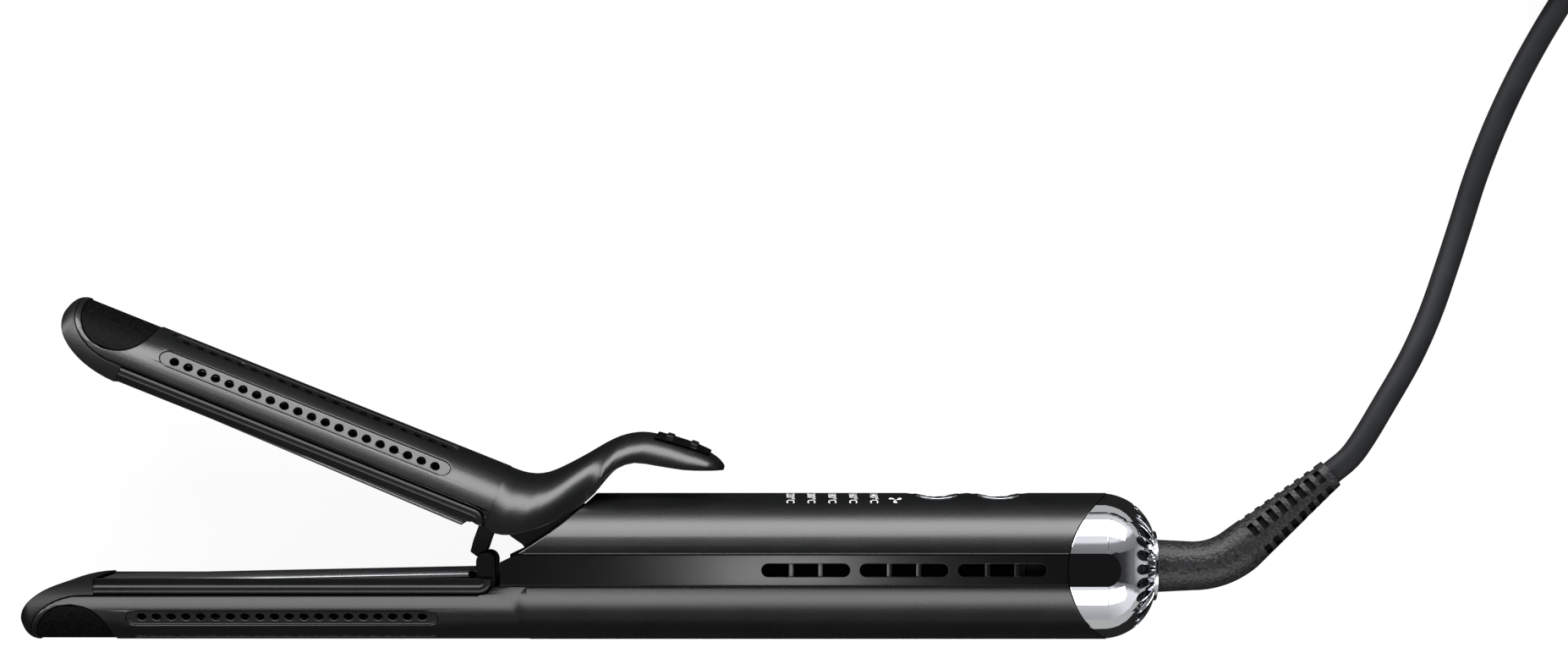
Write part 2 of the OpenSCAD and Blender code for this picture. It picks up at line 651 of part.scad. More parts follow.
module clamp_shell() color("#2e2f31") place() opened() {
    difference() {
        as_upper() intersection() {
            barrel_rod(barrel_r, tip_edge_r, arm_end_x);
            slab(concat(shell_front(seam_h), arc([rail_end_x[1], turn_h], seam_h - turn_h, 90, 25, 8),
                [[arm_end_x, turn_h + 1.5], [arm_end_x, far], [front_x, far]]), -far, far);
        }
        as_upper() rod_x(barrel_inner_r, cavity_x, arm_end_x + 1);
        as_upper() vents();
        as_upper() pad_zone(0, pad_depth);
    }
    skin([for (s = smooth(lever_stations, stations_per_span)) shell_loop(s)]);
}

module clamp_tip_pad() place() opened() as_upper() tip_pad();

module clamp_frame() color("#1c1d1e") place() opened() as_upper() {
    barrel_frame(rail_end_x[1], 11.8);
    rock_rib();
    box([plate_x1 - 12, plate_x1 - 1], [frame_top - 1.2, frame_top], [-rail_z0 - 1, rail_z0 + 1]);
}

// Steel yoke from the clamp's frame to the hinge pin
yoke_y = parting_y + frame_top;
yoke_t = 1.6;
yoke_x = [plate_x1 - 11.4, plate_x1 - 1.8];
web_x = mouth_x + 4.2;
web_top_z = 6;
module clamp_yoke() color("#26272a") place() opened() difference() {
    union() {
        both_sides() {
            slab([[yoke_x[0], yoke_y], [mouth_x + 1, yoke_y], [web_x, -0.9], [web_x + 3.7, -1.75],
                [web_x + 4.9, -2.4], [web_x + 8.6, -2.4], [web_x + 8.8, 3], [pivot_x - 10.6, pivot_y - 3.6],
                [pivot_x, pivot_y - boss_r], [pivot_x, pivot_y + boss_r], [pivot_x - 6.6, pivot_y + 1.7],
                [pivot_x - 22.6, pivot_y - 0.6], [yoke_x[0], yoke_y + 4.4]], arm_z[0], arm_z[1]);
            translate([pivot_x, pivot_y, arm_z[0]]) cylinder(r = boss_r, h = arm_z[1] - arm_z[0]);
        }
        box(yoke_x, [yoke_y, yoke_y + yoke_t], [-arm_z[1], arm_z[1]]);
        yoke_web();
    }
    translate([pivot_x, pivot_y, -20]) cylinder(r = pin_r + 0.05, h = 40);
}

// Web that joins the yoke's arms and closes the handle's mouth behind the lever
module yoke_web() {
    slab([[web_x, -0.9], [web_x + 3.7, -1.75], [web_x + 4.9, -2.4], [web_x + 8.6, -2.4], [web_x + 8.8, 3],
        [web_x + 8.8, pivot_y - 0.2], [web_x + 2, pivot_y - 0.6]], -arm_z[0] - eps, arm_z[0] + eps);
    translate([pivot_x, pivot_y, 0]) slab([[-19.4, -2], [-14.6, -2], [-14.6, 0.5], [-10.6, 0.6],
        [-6.15, 1.64], [-7.2, 4.3], [-9.06, 4.13], [-8, 6.28], [-7.14, 8.13], [-9.5, 9], [-12.5, 5.5]],
        -web_top_z, web_top_z);
}

// Guide that carries the heater's wires behind the plates
guide_half_w = 4;
guide_x = plate_x1 + 3.6;
module wire_guide() color("#151617") place() opened() {
    slab([[guide_x - 12, yoke_y + yoke_t], [guide_x - 4.5, yoke_y + yoke_t], [guide_x, 2.4],
        [guide_x + 0.2, -6], [guide_x + 0.6, -9.2], [guide_x + 2.9, -9.8], [guide_x + 4.6, -7.2],
        [guide_x + 4.4, -4], [guide_x + 4.4, yoke_y + 4], [guide_x - 12, yoke_y + 4]],
        -guide_half_w, guide_half_w);
}

module thumb_pad() color("#1a1b1c") place() opened()
    skin([for (s = smooth([for (i = [12:15]) lever_stations[i]], 2)) pad_loop(s)]);

// ---- buttons ----

module button(x) translate([x, 0, 0]) difference() {
    rotate([-90, 0, 0]) translate([0, 0, switch_top])
        cylinder(r = button_r, h = handle_r - 0.4 - switch_top);
    translate([0, handle_r + 24.1, 0]) sphere(r = 26);
}
module power_button() color("#202124") place() button(power_x);
module mode_button() color("#202124") place() button(mode_x);

// ---- strain relief and lead ----

slot_rows = [for (k = [0:4]) 12 + 72 * k];
relief_slots = 8;
module relief_sleeve() difference() {
    union() {
        cylinder(r1 = relief_r[1], r2 = relief_r[2], h = relief_taper);
        translate([0, 0, -0.5]) cylinder(r = relief_r[1] - 0.2, h = 1);
    }
    for (i = [0:relief_slots - 1], a = slot_rows) rotate([0, 0, a]) let (
        z = 4.4 + 3.2 * i, r = relief_r[1] + (relief_r[2] - relief_r[1]) * z / relief_taper)
        box([r - 1.3, r + 3], [-1.9, 1.9], [z, z + 1.8]);
}

module strain_relief() color("#1e1f20") place() {
    rod_x(relief_r[0] + 1.6, tool_end_x - 14.8, tool_end_x - 12.8);
    rod_x(relief_r[0], tool_end_x - 13, tool_end_x);
    translate([tool_end_x - eps, 0, 0]) rotate([0, 90, 0])
        cylinder(r1 = relief_r[0], r2 = relief_r[1], h = relief_straight + eps);
    translate([tool_end_x + relief_straight, relief_bend_r, 0]) {
        rotate([0, 0, -90]) rotate_extrude(angle = relief_bend) translate([relief_bend_r, 0])
            circle(r = relief_r[1]);
        rotate([0, 0, relief_bend]) translate([0, -relief_bend_r, 0]) rotate([0, 90, 0]) relief_sleeve();
    }
}

module swivel_washer() color("#7d8085") place() difference() {
    rod_x(relief_r[0] + 1.6, tool_end_x - 12.5, tool_end_x - 11.7);
    rod_x(relief_r[0] + 0.3, tool_end_x - 13, tool_end_x - 11);
}

// ---- lead ----

cord_r = cord_d / 2;
floor_z = -land_z;
tie_t = 0.8;

// Two-pin plug
plug_w = 35.3;
plug_t = 13.7;
plug_len = 32;
sleeve_len = 18;
pin_spacing = 18.6;
plug_pin_r = 2;
plug_pin_len = 19;

// Route from the relief's end to the coil, and from the coil to the plug
relief_dir = [cos(relief_bend), sin(relief_bend), 0];
relief_tip = [relief_end[0], relief_end[1], 0];
run_points = [[357.5, 34, -0.5], [362.5, 42, -1.6], [370.5, 55, -4.6], [376.5, 67, -8.2],
    [381.5, 79.5, -11.8], [386, 92, -14.4], [390, 104, -15.4], [395, 117, -15.4],
    [401, 130, -15.4], [407.5, 142, -15.4], [414.5, 153.5, -15.4], [422, 165.5, -15.3]];
plug_reach = 41.5;

// Two layers: in along the floor and out again on top
coil_centre = [387.3, 214.1];
coil_start = -32;
coil_loops = 8;
coil_sweep = coil_loops * 360 + 90 - coil_start;
climb = 180;
coil_outer_r = coil_inner_r + turn_pitch * (coil_sweep / 2 - climb / 4) / 360;
coil_z = floor_z + tie_t + 0.1 + cord_r * cos(30);
layer_h = cord_d + 0.6;
ring_step = 15;
lead_in = cord_d + 0.5;

function ramp(t) = let (u = min(1, max(0, t))) u * u * (3 - 2 * u);
function coil_point(s) = let (
    away = s - coil_sweep / 2, a = coil_start + s,
    spread = abs(away) > climb / 2 ? abs(away) : away * away / climb + climb / 4,
    r = coil_inner_r + turn_pitch * (spread - climb / 4) / 360)
    [coil_centre[0] + r * cos(a), coil_centre[1] + r * sin(a),
        coil_z + layer_h * ramp(away / climb + 0.5)];
coil_rings = round(coil_sweep / ring_step);
coil_turned = [for (i = [0:coil_rings]) coil_point(coil_sweep * i / coil_rings)];
coil_in = [cos(coil_start + 90), sin(coil_start + 90), 0];
coil_path = concat([coil_turned[0] - lead_in * coil_in], coil_turned,
    [coil_turned[coil_rings] - [lead_in, 0, 0]]);

// Least gap between turns, from points more than a third of a turn apart
turn_gap = min([for (i = [0:coil_rings], j = [i + 8:coil_rings])
    norm(coil_turned[i] - coil_turned[j])]) - cord_d;
echo(least_gap_between_turns = turn_gap);

module cord_run() color("#222325") place() tube(concat(
    [relief_tip, relief_tip + cord_d * relief_dir], run_points,
    [coil_path[0] - cord_d * coil_in, coil_path[0]]), cord_r, 8);

module cord_coil() color("#222325") place() tube(coil_path, cord_r, 6);

// The tail leaves on top of the coil and comes down to the plug beyond it.
coil_end = coil_path[len(coil_path) - 1];
plug_z = floor_z + plug_t / 2;
module cord_tail() color("#222325") place()
    tube([for (s = [0, 8, 14, 20, 26, 32, plug_reach - cord_d, plug_reach])
        coil_end + [-s, 0, (plug_z - coil_end[2]) * ramp((s - 12) / 22)]], cord_r, 8);

tie_w = 14;
module cord_tie() color("#2a2b2e") place() translate([coil_centre[0], coil_centre[1], 0]) difference() {
    x = [-coil_outer_r - cord_r - 0.2, -coil_inner_r + cord_r + 1.6];
    z = [floor_z + tie_t, coil_z + layer_h + cord_r];
    box([x[0] - tie_t, x[1] + tie_t], [-tie_w / 2, tie_w / 2], [z[0] - tie_t, z[1] + tie_t]);
    box(x, [-tie_w, tie_w], z);
}

// ---- plug ----

module at_plug() translate([coil_end[0] - plug_reach, coil_end[1], plug_z]) rotate([0, 0, 90]) children();

module plug_body() color("#222325") place() at_plug() {
    difference() {
        rotate([-90, 0, 0]) cylinder(r1 = cord_r + 1, r2 = cord_r + 2.4, h = sleeve_len);
        for (i = [0:3], a = [0, 180]) rotate([0, a, 0])
            box([cord_r + 0.4, far], [3 + 3.4 * i, 4.4 + 3.4 * i], [-3, 3]);
    }
    intersection() {
        slab(concat([[plug_w / 2, sleeve_len + plug_len], [-plug_w / 2, sleeve_len + plug_len]],
            arc([-plug_w / 2 + 14, sleeve_len + 12], 14, 180, 250, 8),
            arc([plug_w / 2 - 14, sleeve_len + 12], 14, -70, 0, 8)), -plug_t / 2, plug_t / 2);
        rotate([-90, 0, 0]) linear_extrude(far) {
            square([plug_w - plug_t, plug_t], center = true);
            both_ends(plug_w / 2 - plug_t / 2) circle(d = plug_t);
        }
    }
}

module both_ends(x) for (side = [-1, 1]) translate([side * x, 0]) children();

module plug_pins() color("#c3c6c9") place() at_plug() both_ends(pin_spacing / 2)
    translate([0, sleeve_len + plug_len, 0]) rotate([-90, 0, 0]) {
        cylinder(r = plug_pin_r, h = plug_pin_len - 1);
        translate([0, 0, plug_pin_len - 1]) cylinder(r1 = plug_pin_r, r2 = plug_pin_r - 0.8, h = 1);
    }

lower_shell();
lower_tip_pad();
lower_frame();
upper_shell();
side_bands();
end_cap();
intake_filter();
chassis();
hinge_pin();
hinge_spring();
circuit_board();
button_switches();
fan_housing();
fan_motor();
chassis_screws();
lower_plate_spring();
lower_plate();
lower_heater();
upper_plate();
upper_heater();
upper_plate_spring();
clamp_shell();
clamp_tip_pad();
clamp_frame();
clamp_yoke();
wire_guide();
thumb_pad();
power_button();
mode_button();
impeller();
strain_relief();
swivel_washer();
cord_run();
cord_coil();
cord_tail();
cord_tie();
plug_body();
plug_pins();
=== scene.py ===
# %% [markdown]
# # A clamp hair styler with heated plates
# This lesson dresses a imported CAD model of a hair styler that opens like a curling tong.
# The rigid pieces already have their true shape, so most of the work is in their finish:
# satin paint, moulded rubber, gloss plastic, chrome and coated aluminium. The lead is the
# one soft piece, and it is made here again as a smooth tube on its own route.

# %% Load the model
import json
import math
import bmesh
import bpy
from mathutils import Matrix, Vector


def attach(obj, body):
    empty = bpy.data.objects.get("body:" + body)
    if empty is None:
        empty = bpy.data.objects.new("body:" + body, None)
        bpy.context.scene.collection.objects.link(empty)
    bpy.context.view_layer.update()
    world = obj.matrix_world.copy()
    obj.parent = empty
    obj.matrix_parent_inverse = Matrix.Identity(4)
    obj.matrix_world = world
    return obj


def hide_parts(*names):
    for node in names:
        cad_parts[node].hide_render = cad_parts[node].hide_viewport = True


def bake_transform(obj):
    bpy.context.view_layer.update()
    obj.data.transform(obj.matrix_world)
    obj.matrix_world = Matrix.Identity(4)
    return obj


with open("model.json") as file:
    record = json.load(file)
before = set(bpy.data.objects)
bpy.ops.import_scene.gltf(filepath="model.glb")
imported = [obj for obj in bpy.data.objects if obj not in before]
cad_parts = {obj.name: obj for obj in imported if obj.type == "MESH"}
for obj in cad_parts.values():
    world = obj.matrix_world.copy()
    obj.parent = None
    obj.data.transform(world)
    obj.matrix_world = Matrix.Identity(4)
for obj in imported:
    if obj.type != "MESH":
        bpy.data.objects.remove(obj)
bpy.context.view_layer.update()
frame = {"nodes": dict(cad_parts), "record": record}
bpy.ops.object.select_all(action="DESELECT")

# %% [markdown]
# ## Sizes
# The tool was drawn in its own frame, in millimetres, with X from the barrel's tip and the
# handle's axis at Y = Z = 0. One function turns such a place into the model's metres, so
# every number below can be read as a length on the real tool.

# %% From the tool's millimetres to the model's metres
MM = 0.001
FLOOR_PLACE = (-176.502, -26.0617, 18.8)
TABLE_Z = -FLOOR_PLACE[2]
HANDLE_R = 19.4
CORD_D = 6.5


def tool(x, y, z=0.0):
    return Vector((x + FLOOR_PLACE[0], y + FLOOR_PLACE[1], z + FLOOR_PLACE[2])) * MM


print("tool's tip:", tuple(tool(0, 0)))

# %% [markdown]
# ## Camera
# A product view taken straight down needs no turn at all: Blender's camera looks along -Z
# with +Y upwards until it is turned. Its height and lens give a long, calm perspective.

# %% Camera straight above the tool
CAMERA_CENTRE = (203.2, 62.2)
CAMERA_ABOVE_AXIS = 990.0
FIELD_WIDTH = 417.15
SENSOR = 36.0
CLIP_RANGE = (0.01, 20)
bpy.ops.object.camera_add(location=tool(*CAMERA_CENTRE, CAMERA_ABOVE_AXIS), rotation=(0, 0, 0))
camera = bpy.context.object
camera.name = "view_camera"
camera.data.sensor_width = SENSOR
camera.data.lens = SENSOR * CAMERA_ABOVE_AXIS / FIELD_WIDTH
camera.data.clip_start, camera.data.clip_end = CLIP_RANGE
bpy.context.scene.camera = camera
print("lens in mm:", round(camera.data.lens, 2))

# %% [markdown]
# ## The lead's route
# A mains lead is a fixed length of something flexible. It leaves the tip of the strain
# relief, which bends away from the handle's axis, and sinks to the table in a free curve.
# The free part is a list of places, because nothing but its own stiffness shapes it.

# %% From the strain relief down to the table
TOOL_END_X = 302
RELIEF_STRAIGHT = 10
RELIEF_BEND_R = 20
RELIEF_BEND = math.radians(40)
SLEEVE_LENGTH = 31
RELIEF_TIP = (TOOL_END_X + RELIEF_STRAIGHT + RELIEF_BEND_R * math.sin(RELIEF_BEND)
              + SLEEVE_LENGTH * math.cos(RELIEF_BEND),
              RELIEF_BEND_R * (1 - math.cos(RELIEF_BEND))
              + SLEEVE_LENGTH * math.sin(RELIEF_BEND), 0)
RELIEF_DIR = Vector((math.cos(RELIEF_BEND), math.sin(RELIEF_BEND), 0))
RUN = [(357.5, 34, -0.5), (362.5, 42, -1.6), (370.5, 55, -4.6), (376.5, 67, -8.2),
       (381.5, 79.5, -11.8), (386, 92, -14.4), (390, 104, -15.4), (395, 117, -15.4),
       (401, 130, -15.4), (407.5, 142, -15.4), (414.5, 153.5, -15.4), (422, 165.5, -15.3)]
print("relief's tip in the tool's mm:", [round(c, 2) for c in RELIEF_TIP])

# %% [markdown]
# ### The coil
# The rest is wound away into a neat coil of two layers: in along the table, and out again
# on top. Places typed by hand would cross somewhere. A formula keeps every turn one pitch
# from the next, and lifts the lead by one layer over half a turn at the middle.

# %% The coil's formula
COIL_CENTRE = (387.3, 214.1)
COIL_INNER = 26.0
TURN_PITCH = 7.1
COIL_LOOPS = 8
COIL_START = -32.0
COIL_SWEEP = COIL_LOOPS * 360 + 90 - COIL_START
COIL_STEP = 7.5
TIE_THICK = 0.8
TIE_GAP = 0.1
SIX_SIDED = math.cos(math.radians(30))  # the CAD lead has six sides, and lies on a flat
COIL_LOW = TABLE_Z + TIE_THICK + TIE_GAP + CORD_D / 2 * SIX_SIDED
LAYER = CORD_D + 0.6
CLIMB = 180.0


def ramp(t):
    """Rises from 0 to 1 with a soft start and a soft end."""
    t = min(1, max(0, t))
    return t * t * (3 - 2 * t)


def coil_point(s):
    """The lead's middle after s degrees of winding."""
    away = s - COIL_SWEEP / 2
    spread = abs(away) if abs(away) > CLIMB / 2 else away * away / CLIMB + CLIMB / 4
    r = COIL_INNER + TURN_PITCH * (spread - CLIMB / 4) / 360
    a = math.radians(COIL_START + s)
    return Vector((COIL_CENTRE[0] + r * math.cos(a), COIL_CENTRE[1] + r * math.sin(a),
                   COIL_LOW + LAYER * ramp(away / CLIMB + 0.5)))


coil_count = round(COIL_SWEEP / COIL_STEP)
coil_line = [coil_point(COIL_SWEEP * i / coil_count) for i in range(coil_count + 1)]
print("coil's points:", len(coil_line))

# %% [markdown]
# ### One line from relief to plug
# The free curve, the coil and the tail that drops to the plug are joined into one line. A
# Catmull-Rom spline goes through every given place, so the ends meet the coil exactly. The
# line starts inside the relief and ends inside the plug, so that no end can be seen.

# %% Points along the lead
INTO_RELIEF = 6
INTO_PLUG = 4
LEAD_IN = CORD_D + 0.5
PLUG_REACH = 41.5
PLUG_THICK = 13.7
PLUG_Z = TABLE_Z + PLUG_THICK / 2
TAIL_STATIONS = (0, 8, 14, 20, 26, 32, PLUG_REACH - CORD_D, PLUG_REACH, PLUG_REACH + INTO_PLUG)
DROP_START, DROP_LENGTH = 12, 22
RUN_STEPS, TAIL_STEPS = 4, 3


def through(points, steps):
    """A smooth line through the points, as a Catmull-Rom spline."""
    line = []
    for i in range(len(points) - 1):
        a, b, c, d = (Vector(points[min(max(k, 0), len(points) - 1)])
                      for k in (i - 1, i, i + 1, i + 2))
        for k in range(steps):
            t = k / steps
            line.append(0.5 * (2 * b + (c - a) * t + (2 * a - 5 * b + 4 * c - d) * t * t
                               + (3 * b - 3 * c + d - a) * t ** 3))
    return line + [Vector(points[-1])]


def tail_point(s):
    """A place s mm along the tail, which drops from the coil's top to the plug's height."""
    drop = ramp((s - DROP_START) / DROP_LENGTH)
    return coil_end + Vector((-s, 0, (PLUG_Z - coil_end.z) * drop))


coil_angle = math.radians(COIL_START + 90)
coil_dir = Vector((math.cos(coil_angle), math.sin(coil_angle), 0))
coil_begin = coil_line[0] - LEAD_IN * coil_dir
coil_end = coil_line[-1] - Vector((LEAD_IN, 0, 0))
tip = Vector(RELIEF_TIP)
run_line = through([tip - INTO_RELIEF * RELIEF_DIR, tip, tip + CORD_D * RELIEF_DIR] + RUN
                   + [coil_begin - CORD_D * coil_dir, coil_begin], RUN_STEPS)
tail_line = through([tail_point(s) for s in TAIL_STATIONS], TAIL_STEPS)
lead_line = [tool(*p) for p in run_line[:-1] + coil_line + tail_line]

# %% [markdown]
# ## Materials
# Each real finish gets one material. Colours are written as sRGB hex, as in a paint chart,
# and one function turns them into the linear values that a shader works in. Patterns are
# scaled in millimetres on Object coordinates, which are metres here.

# %% Helpers for colours, nodes and materials
def colour(hex_code):
    channels = [int(hex_code[i:i + 2], 16) / 255 for i in (1, 3, 5)]
    return [c / 12.92 if c <= 0.04045 else ((c + 0.055) / 1.055) ** 2.4 for c in channels] + [1]


def add_node(tree, kind, settings=(), links=()):
    """Settings are (socket or attribute, value) pairs, links are (socket, source) pairs."""
    node = tree.nodes.new(kind)
    for name, value in settings:
        if isinstance(name, str) and hasattr(node, name):
            setattr(node, name, value)
        else:
            node.inputs[name].default_value = value
    for name, source in links:
        tree.links.new(source, node.inputs[name])
    return node


def new_material(name, hex_code, roughness, **sockets):
    material = bpy.data.materials.new(name)
    material.use_nodes = True
    shader = material.node_tree.nodes["Principled BSDF"]
    shader.inputs["Base Color"].default_value = colour(hex_code)
    shader.inputs["Roughness"].default_value = roughness
    for socket, value in sockets.items():
        shader.inputs[socket.replace("_", " ")].default_value = value
    return material, material.node_tree, shader


# %% [markdown]
# ### Grain and patches
# Nearly every surface here has the same two irregularities. One is a fine grain, from the
# mould or the spray gun, which a bump shows. The other is a slow change of colour and shine
# from place to place. Both come from noise: the finish is irregular, so a regular pattern
# would look printed. One function builds a whole finish from the two.

# %% A material with grain and patches
NOISE_MIDDLE = (0.3, 0.7)  # most of the noise lies between these


def grain(tree, shader, size_mm, height_mm, stretch):
    """A bump from noise whose lumps are about size_mm across."""
    place = add_node(tree, "ShaderNodeTexCoord")
    mapping = add_node(tree, "ShaderNodeMapping", [("Scale", stretch)],
                       [("Vector", place.outputs["Object"])])
    noise = add_node(tree, "ShaderNodeTexNoise", [("Scale", 1 / (size_mm * MM)), ("Detail", 2.0)],
                     [("Vector", mapping.outputs["Vector"])])
    bump = add_node(tree, "ShaderNodeBump", [("Strength", 1.0), ("Distance", height_mm * MM)],
                    [("Height", noise.outputs["Fac"])])
    tree.links.new(bump.outputs["Normal"], shader.inputs["Normal"])
    return mapping


def mottle(tree, shader, mapping, size_mm, dark, light, rough_low, rough_high):
    """Patches about size_mm across that vary the colour and the roughness."""
    noise = add_node(tree, "ShaderNodeTexNoise", [("Scale", 1 / (size_mm * MM)), ("Detail", 3.0)],
                     [("Vector", mapping.outputs["Vector"])])
    tint = add_node(tree, "ShaderNodeValToRGB", [], [("Fac", noise.outputs["Fac"])])
    low, high = tint.color_ramp.elements
    low.position, high.position = NOISE_MIDDLE
    low.color, high.color = colour(dark), colour(light)
    spread = add_node(tree, "ShaderNodeMapRange", [("To Min", rough_low), ("To Max", rough_high)],
                      [("Value", noise.outputs["Fac"])])
    tree.links.new(tint.outputs["Color"], shader.inputs["Base Color"])
    tree.links.new(spread.outputs["Result"], shader.inputs["Roughness"])


def textured(name, hex_code, roughness, lumps, patches, stretch=(1, 1, 1), **sockets):
    """Lumps are grain's size and height in mm; patches are mottle's size, tints and shines."""
    material, tree, shader = new_material(name, hex_code, roughness, **sockets)
    mottle(tree, shader, grain(tree, shader, *lumps, stretch), *patches)
    return material


# %% [markdown]
# ### Satin soft-touch paint
# The shells are glass-filled nylon sprayed with a soft black coat. Such a coat scatters the
# studio light into broad, soft bands, and its grain breaks them up. The real grain is finer
# than a tenth of a millimetre, which is too fine to show, so it is drawn at 0.35 mm.

# %% Satin paint
satin_paint = textured("satin_soft_touch_paint", "#0d0e0f", 0.27, (0.35, 0.014),
                       (14, "#0c0d0e", "#101112", 0.25, 0.3), Specular_IOR_Level=0.75)
print("made:", satin_paint.name)

# %% [markdown]
# ### Rubber, nylon and gloss plastic
# The finger pads are moulded rubber with a tight grain that hardly shines. It is drawn at
# 0.8 mm, coarser than it is, so that it shows. The frames are bare moulded nylon, a little
# uneven in shine. Deep inside the tool the same nylon gets hardly any light, and that shade
# is painted: the inner pieces get a darker copy of it. The side bands and buttons are
# polished ABS, whose only texture is the faint unevenness that all moulded gloss has.

# %% Rubber, nylon, gloss plastic
pad_rubber = textured("grained_pad_rubber", "#050505", 0.5, (0.8, 0.12),
                      (0.8, "#010101", "#0f0f10", 0.42, 0.6), Specular_IOR_Level=0.06)
frame_nylon = textured("black_nylon", "#0a0b0c", 0.38, (0.4, 0.012),
                       (9, "#090a0b", "#0d0e0f", 0.34, 0.43))
band_gloss = textured("polished_black_abs", "#0a0a0b", 0.14, (7, 0.001),
                      (18, "#09090a", "#0c0c0d", 0.13, 0.16))
# Painted shade: the same nylon darkened, for the inner pieces and the relief's slot floors.
painted_shade_nylon = textured("nylon_dark_as_painted_shade", "#050505", 0.7, (0.6, 0.02),
                       (8, "#040404", "#070707", 0.65, 0.8), Specular_IOR_Level=0.2)
print("made:", [m.name for m in (pad_rubber, frame_nylon, band_gloss, painted_shade_nylon)])

# %% [markdown]
# ### Strain relief and lead
# The relief is a moulded elastomer with a leather-like grain, which catches the light in
# small specks. It is drawn at 0.9 mm, coarser than it is, so that the specks show. The
# lead's jacket is extruded PVC: even, matt, and a shade lighter than the tool.

# %% Elastomer and PVC
relief_tpe = textured("grained_relief_tpe", "#1a1b1c", 0.42, (0.9, 0.3),
                      (0.9, "#0e0e0f", "#2e2f31", 0.36, 0.52))
lead_pvc = textured("lead_pvc", "#212224", 0.55, (0.8, 0.03),
                    (9, "#1e1f21", "#242527", 0.5, 0.62), Specular_IOR_Level=0.25)
print("made:", [m.name for m in (relief_tpe, lead_pvc)])

# %% [markdown]
# ### Chrome
# The dome and the button rings are plastic, polished and then plated. Chrome like that is a
# bare mirror, so its roughness is 0, and what it shows is the studio round it. A bump would
# make it look like foil. Only its tint varies, faintly, as a plating's does.

# %% Chrome with a faint haze
HAZE_SIZE = 12
chrome, tree, shader = new_material("bright_chrome", "#e4e6e9", 0.0, Metallic=1.0)
chrome_place = add_node(tree, "ShaderNodeTexCoord")
chrome_haze = add_node(tree, "ShaderNodeTexNoise",
                       [("Scale", 1 / (HAZE_SIZE * MM)), ("Detail", 3.0)],
                       [("Vector", chrome_place.outputs["Object"])])
chrome_tint = add_node(tree, "ShaderNodeValToRGB", [], [("Fac", chrome_haze.outputs["Fac"])])
chrome_tint.color_ramp.elements[0].color = colour("#dcdfe3")
chrome_tint.color_ramp.elements[1].color = colour("#eaecee")
tree.links.new(chrome_tint.outputs["Color"], shader.inputs["Base Color"])
print("made:", chrome.name)

# %% [markdown]
# ### Other metals
# Springs, pin and screws are plain steel with fine drawn lines, so their noise is stretched
# in one direction. The plates are aluminium under a thin ceramic coat, smooth and dull grey,
# which is why they aren't fully metallic. The plug's pins are nickel plated: warmer than
# chrome and less sharp, with faint marks across them.

# %% Steel, coated aluminium, nickel
drawn_steel = textured("drawn_steel", "#a9abae", 0.3, (0.6, 0.01),
                       (5, "#9c9ea1", "#b2b4b7", 0.26, 0.36), stretch=(0.1, 1, 1), Metallic=1.0)
plate_coat = textured("ceramic_coated_aluminium", "#8a8b8e", 0.2, (0.5, 0.003),
                      (11, "#838487", "#919295", 0.18, 0.24), Metallic=0.8)
pin_nickel = textured("nickel_plate", "#c9cacc", 0.2, (0.7, 0.004),
                      (4, "#c2c3c5", "#cfd0d2", 0.17, 0.25), stretch=(1, 0.1, 1), Metallic=1.0)
print("made:", [m.name for m in (drawn_steel, plate_coat, pin_nickel)])

# %% [markdown]
# ### Heaters, board and print
# The heaters behind the plates are alumina: pale, dry and slightly rough. The board wears a
# green solder mask, a thin and fairly glossy lacquer. The marks are a thin white ink, with
# the small unevenness of pad printing.

# %% Ceramic, solder mask, ink
heater_ceramic = textured("alumina_heater", "#d8cbaa", 0.6, (0.3, 0.01),
                          (5, "#d0c29f", "#ded2b3", 0.55, 0.68))
board_green = textured("solder_mask", "#1f4d36", 0.35, (1.2, 0.01),
                       (4, "#1a4430", "#24573e", 0.3, 0.42))
mark_print = textured("white_print", "#e9eaea", 0.5, (0.2, 0.003),
                      (3, "#e2e3e3", "#efefef", 0.45, 0.55))
print("made:", [m.name for m in (heater_ceramic, board_green, mark_print)])

# %% [markdown]
# ### Filter weave
# The air filter is a woven mesh. Two Wave textures, one for each direction of thread, give
# rounded rows, and the higher of the two at each place is the thread that lies on top. The
# threads come about every 1.4 mm, coarser than in a real filter, so that they show. Their
# colour follows the same height: crests are lighter, and the flanks and the gaps between
# threads are painted darker, as painted shade.

# %% Two sets of threads
THREAD_WIDTH = 0.7
THREAD_HEIGHT = 0.2
filter_weave, tree, shader = new_material("filter_weave", "#0c0c0d", 0.6)
weave_place = add_node(tree, "ShaderNodeTexCoord")
threads = [add_node(tree, "ShaderNodeTexWave",
                    [("bands_direction", axis), ("Scale", 1 / (2 * THREAD_WIDTH * MM * math.pi))],
                    [("Vector", weave_place.outputs["Object"])]) for axis in ("Y", "Z")]
crossing = add_node(tree, "ShaderNodeMath", [("operation", "MAXIMUM")],
                    [(0, threads[0].outputs["Fac"]), (1, threads[1].outputs["Fac"])])
# Painted shade: the lower the weave at a place, the darker its colour.
weave_painted_shade = add_node(tree, "ShaderNodeMix",
                      [("data_type", "RGBA"), (6, colour("#030303")), (7, colour("#2a2b2d"))],
                      [(0, crossing.outputs[0])])
weave_bump = add_node(tree, "ShaderNodeBump", [("Distance", THREAD_HEIGHT * MM)],
                      [("Height", crossing.outputs[0])])
tree.links.new(weave_painted_shade.outputs[2], shader.inputs["Base Color"])
tree.links.new(weave_bump.outputs["Normal"], shader.inputs["Normal"])
print("materials:", len(bpy.data.materials))

# %% [markdown]
# ## Finishes for the CAD pieces
# A CAD piece keeps its mesh, and only its material slots change. One list for each material
# is easier to check against the real tool than one line for each piece.

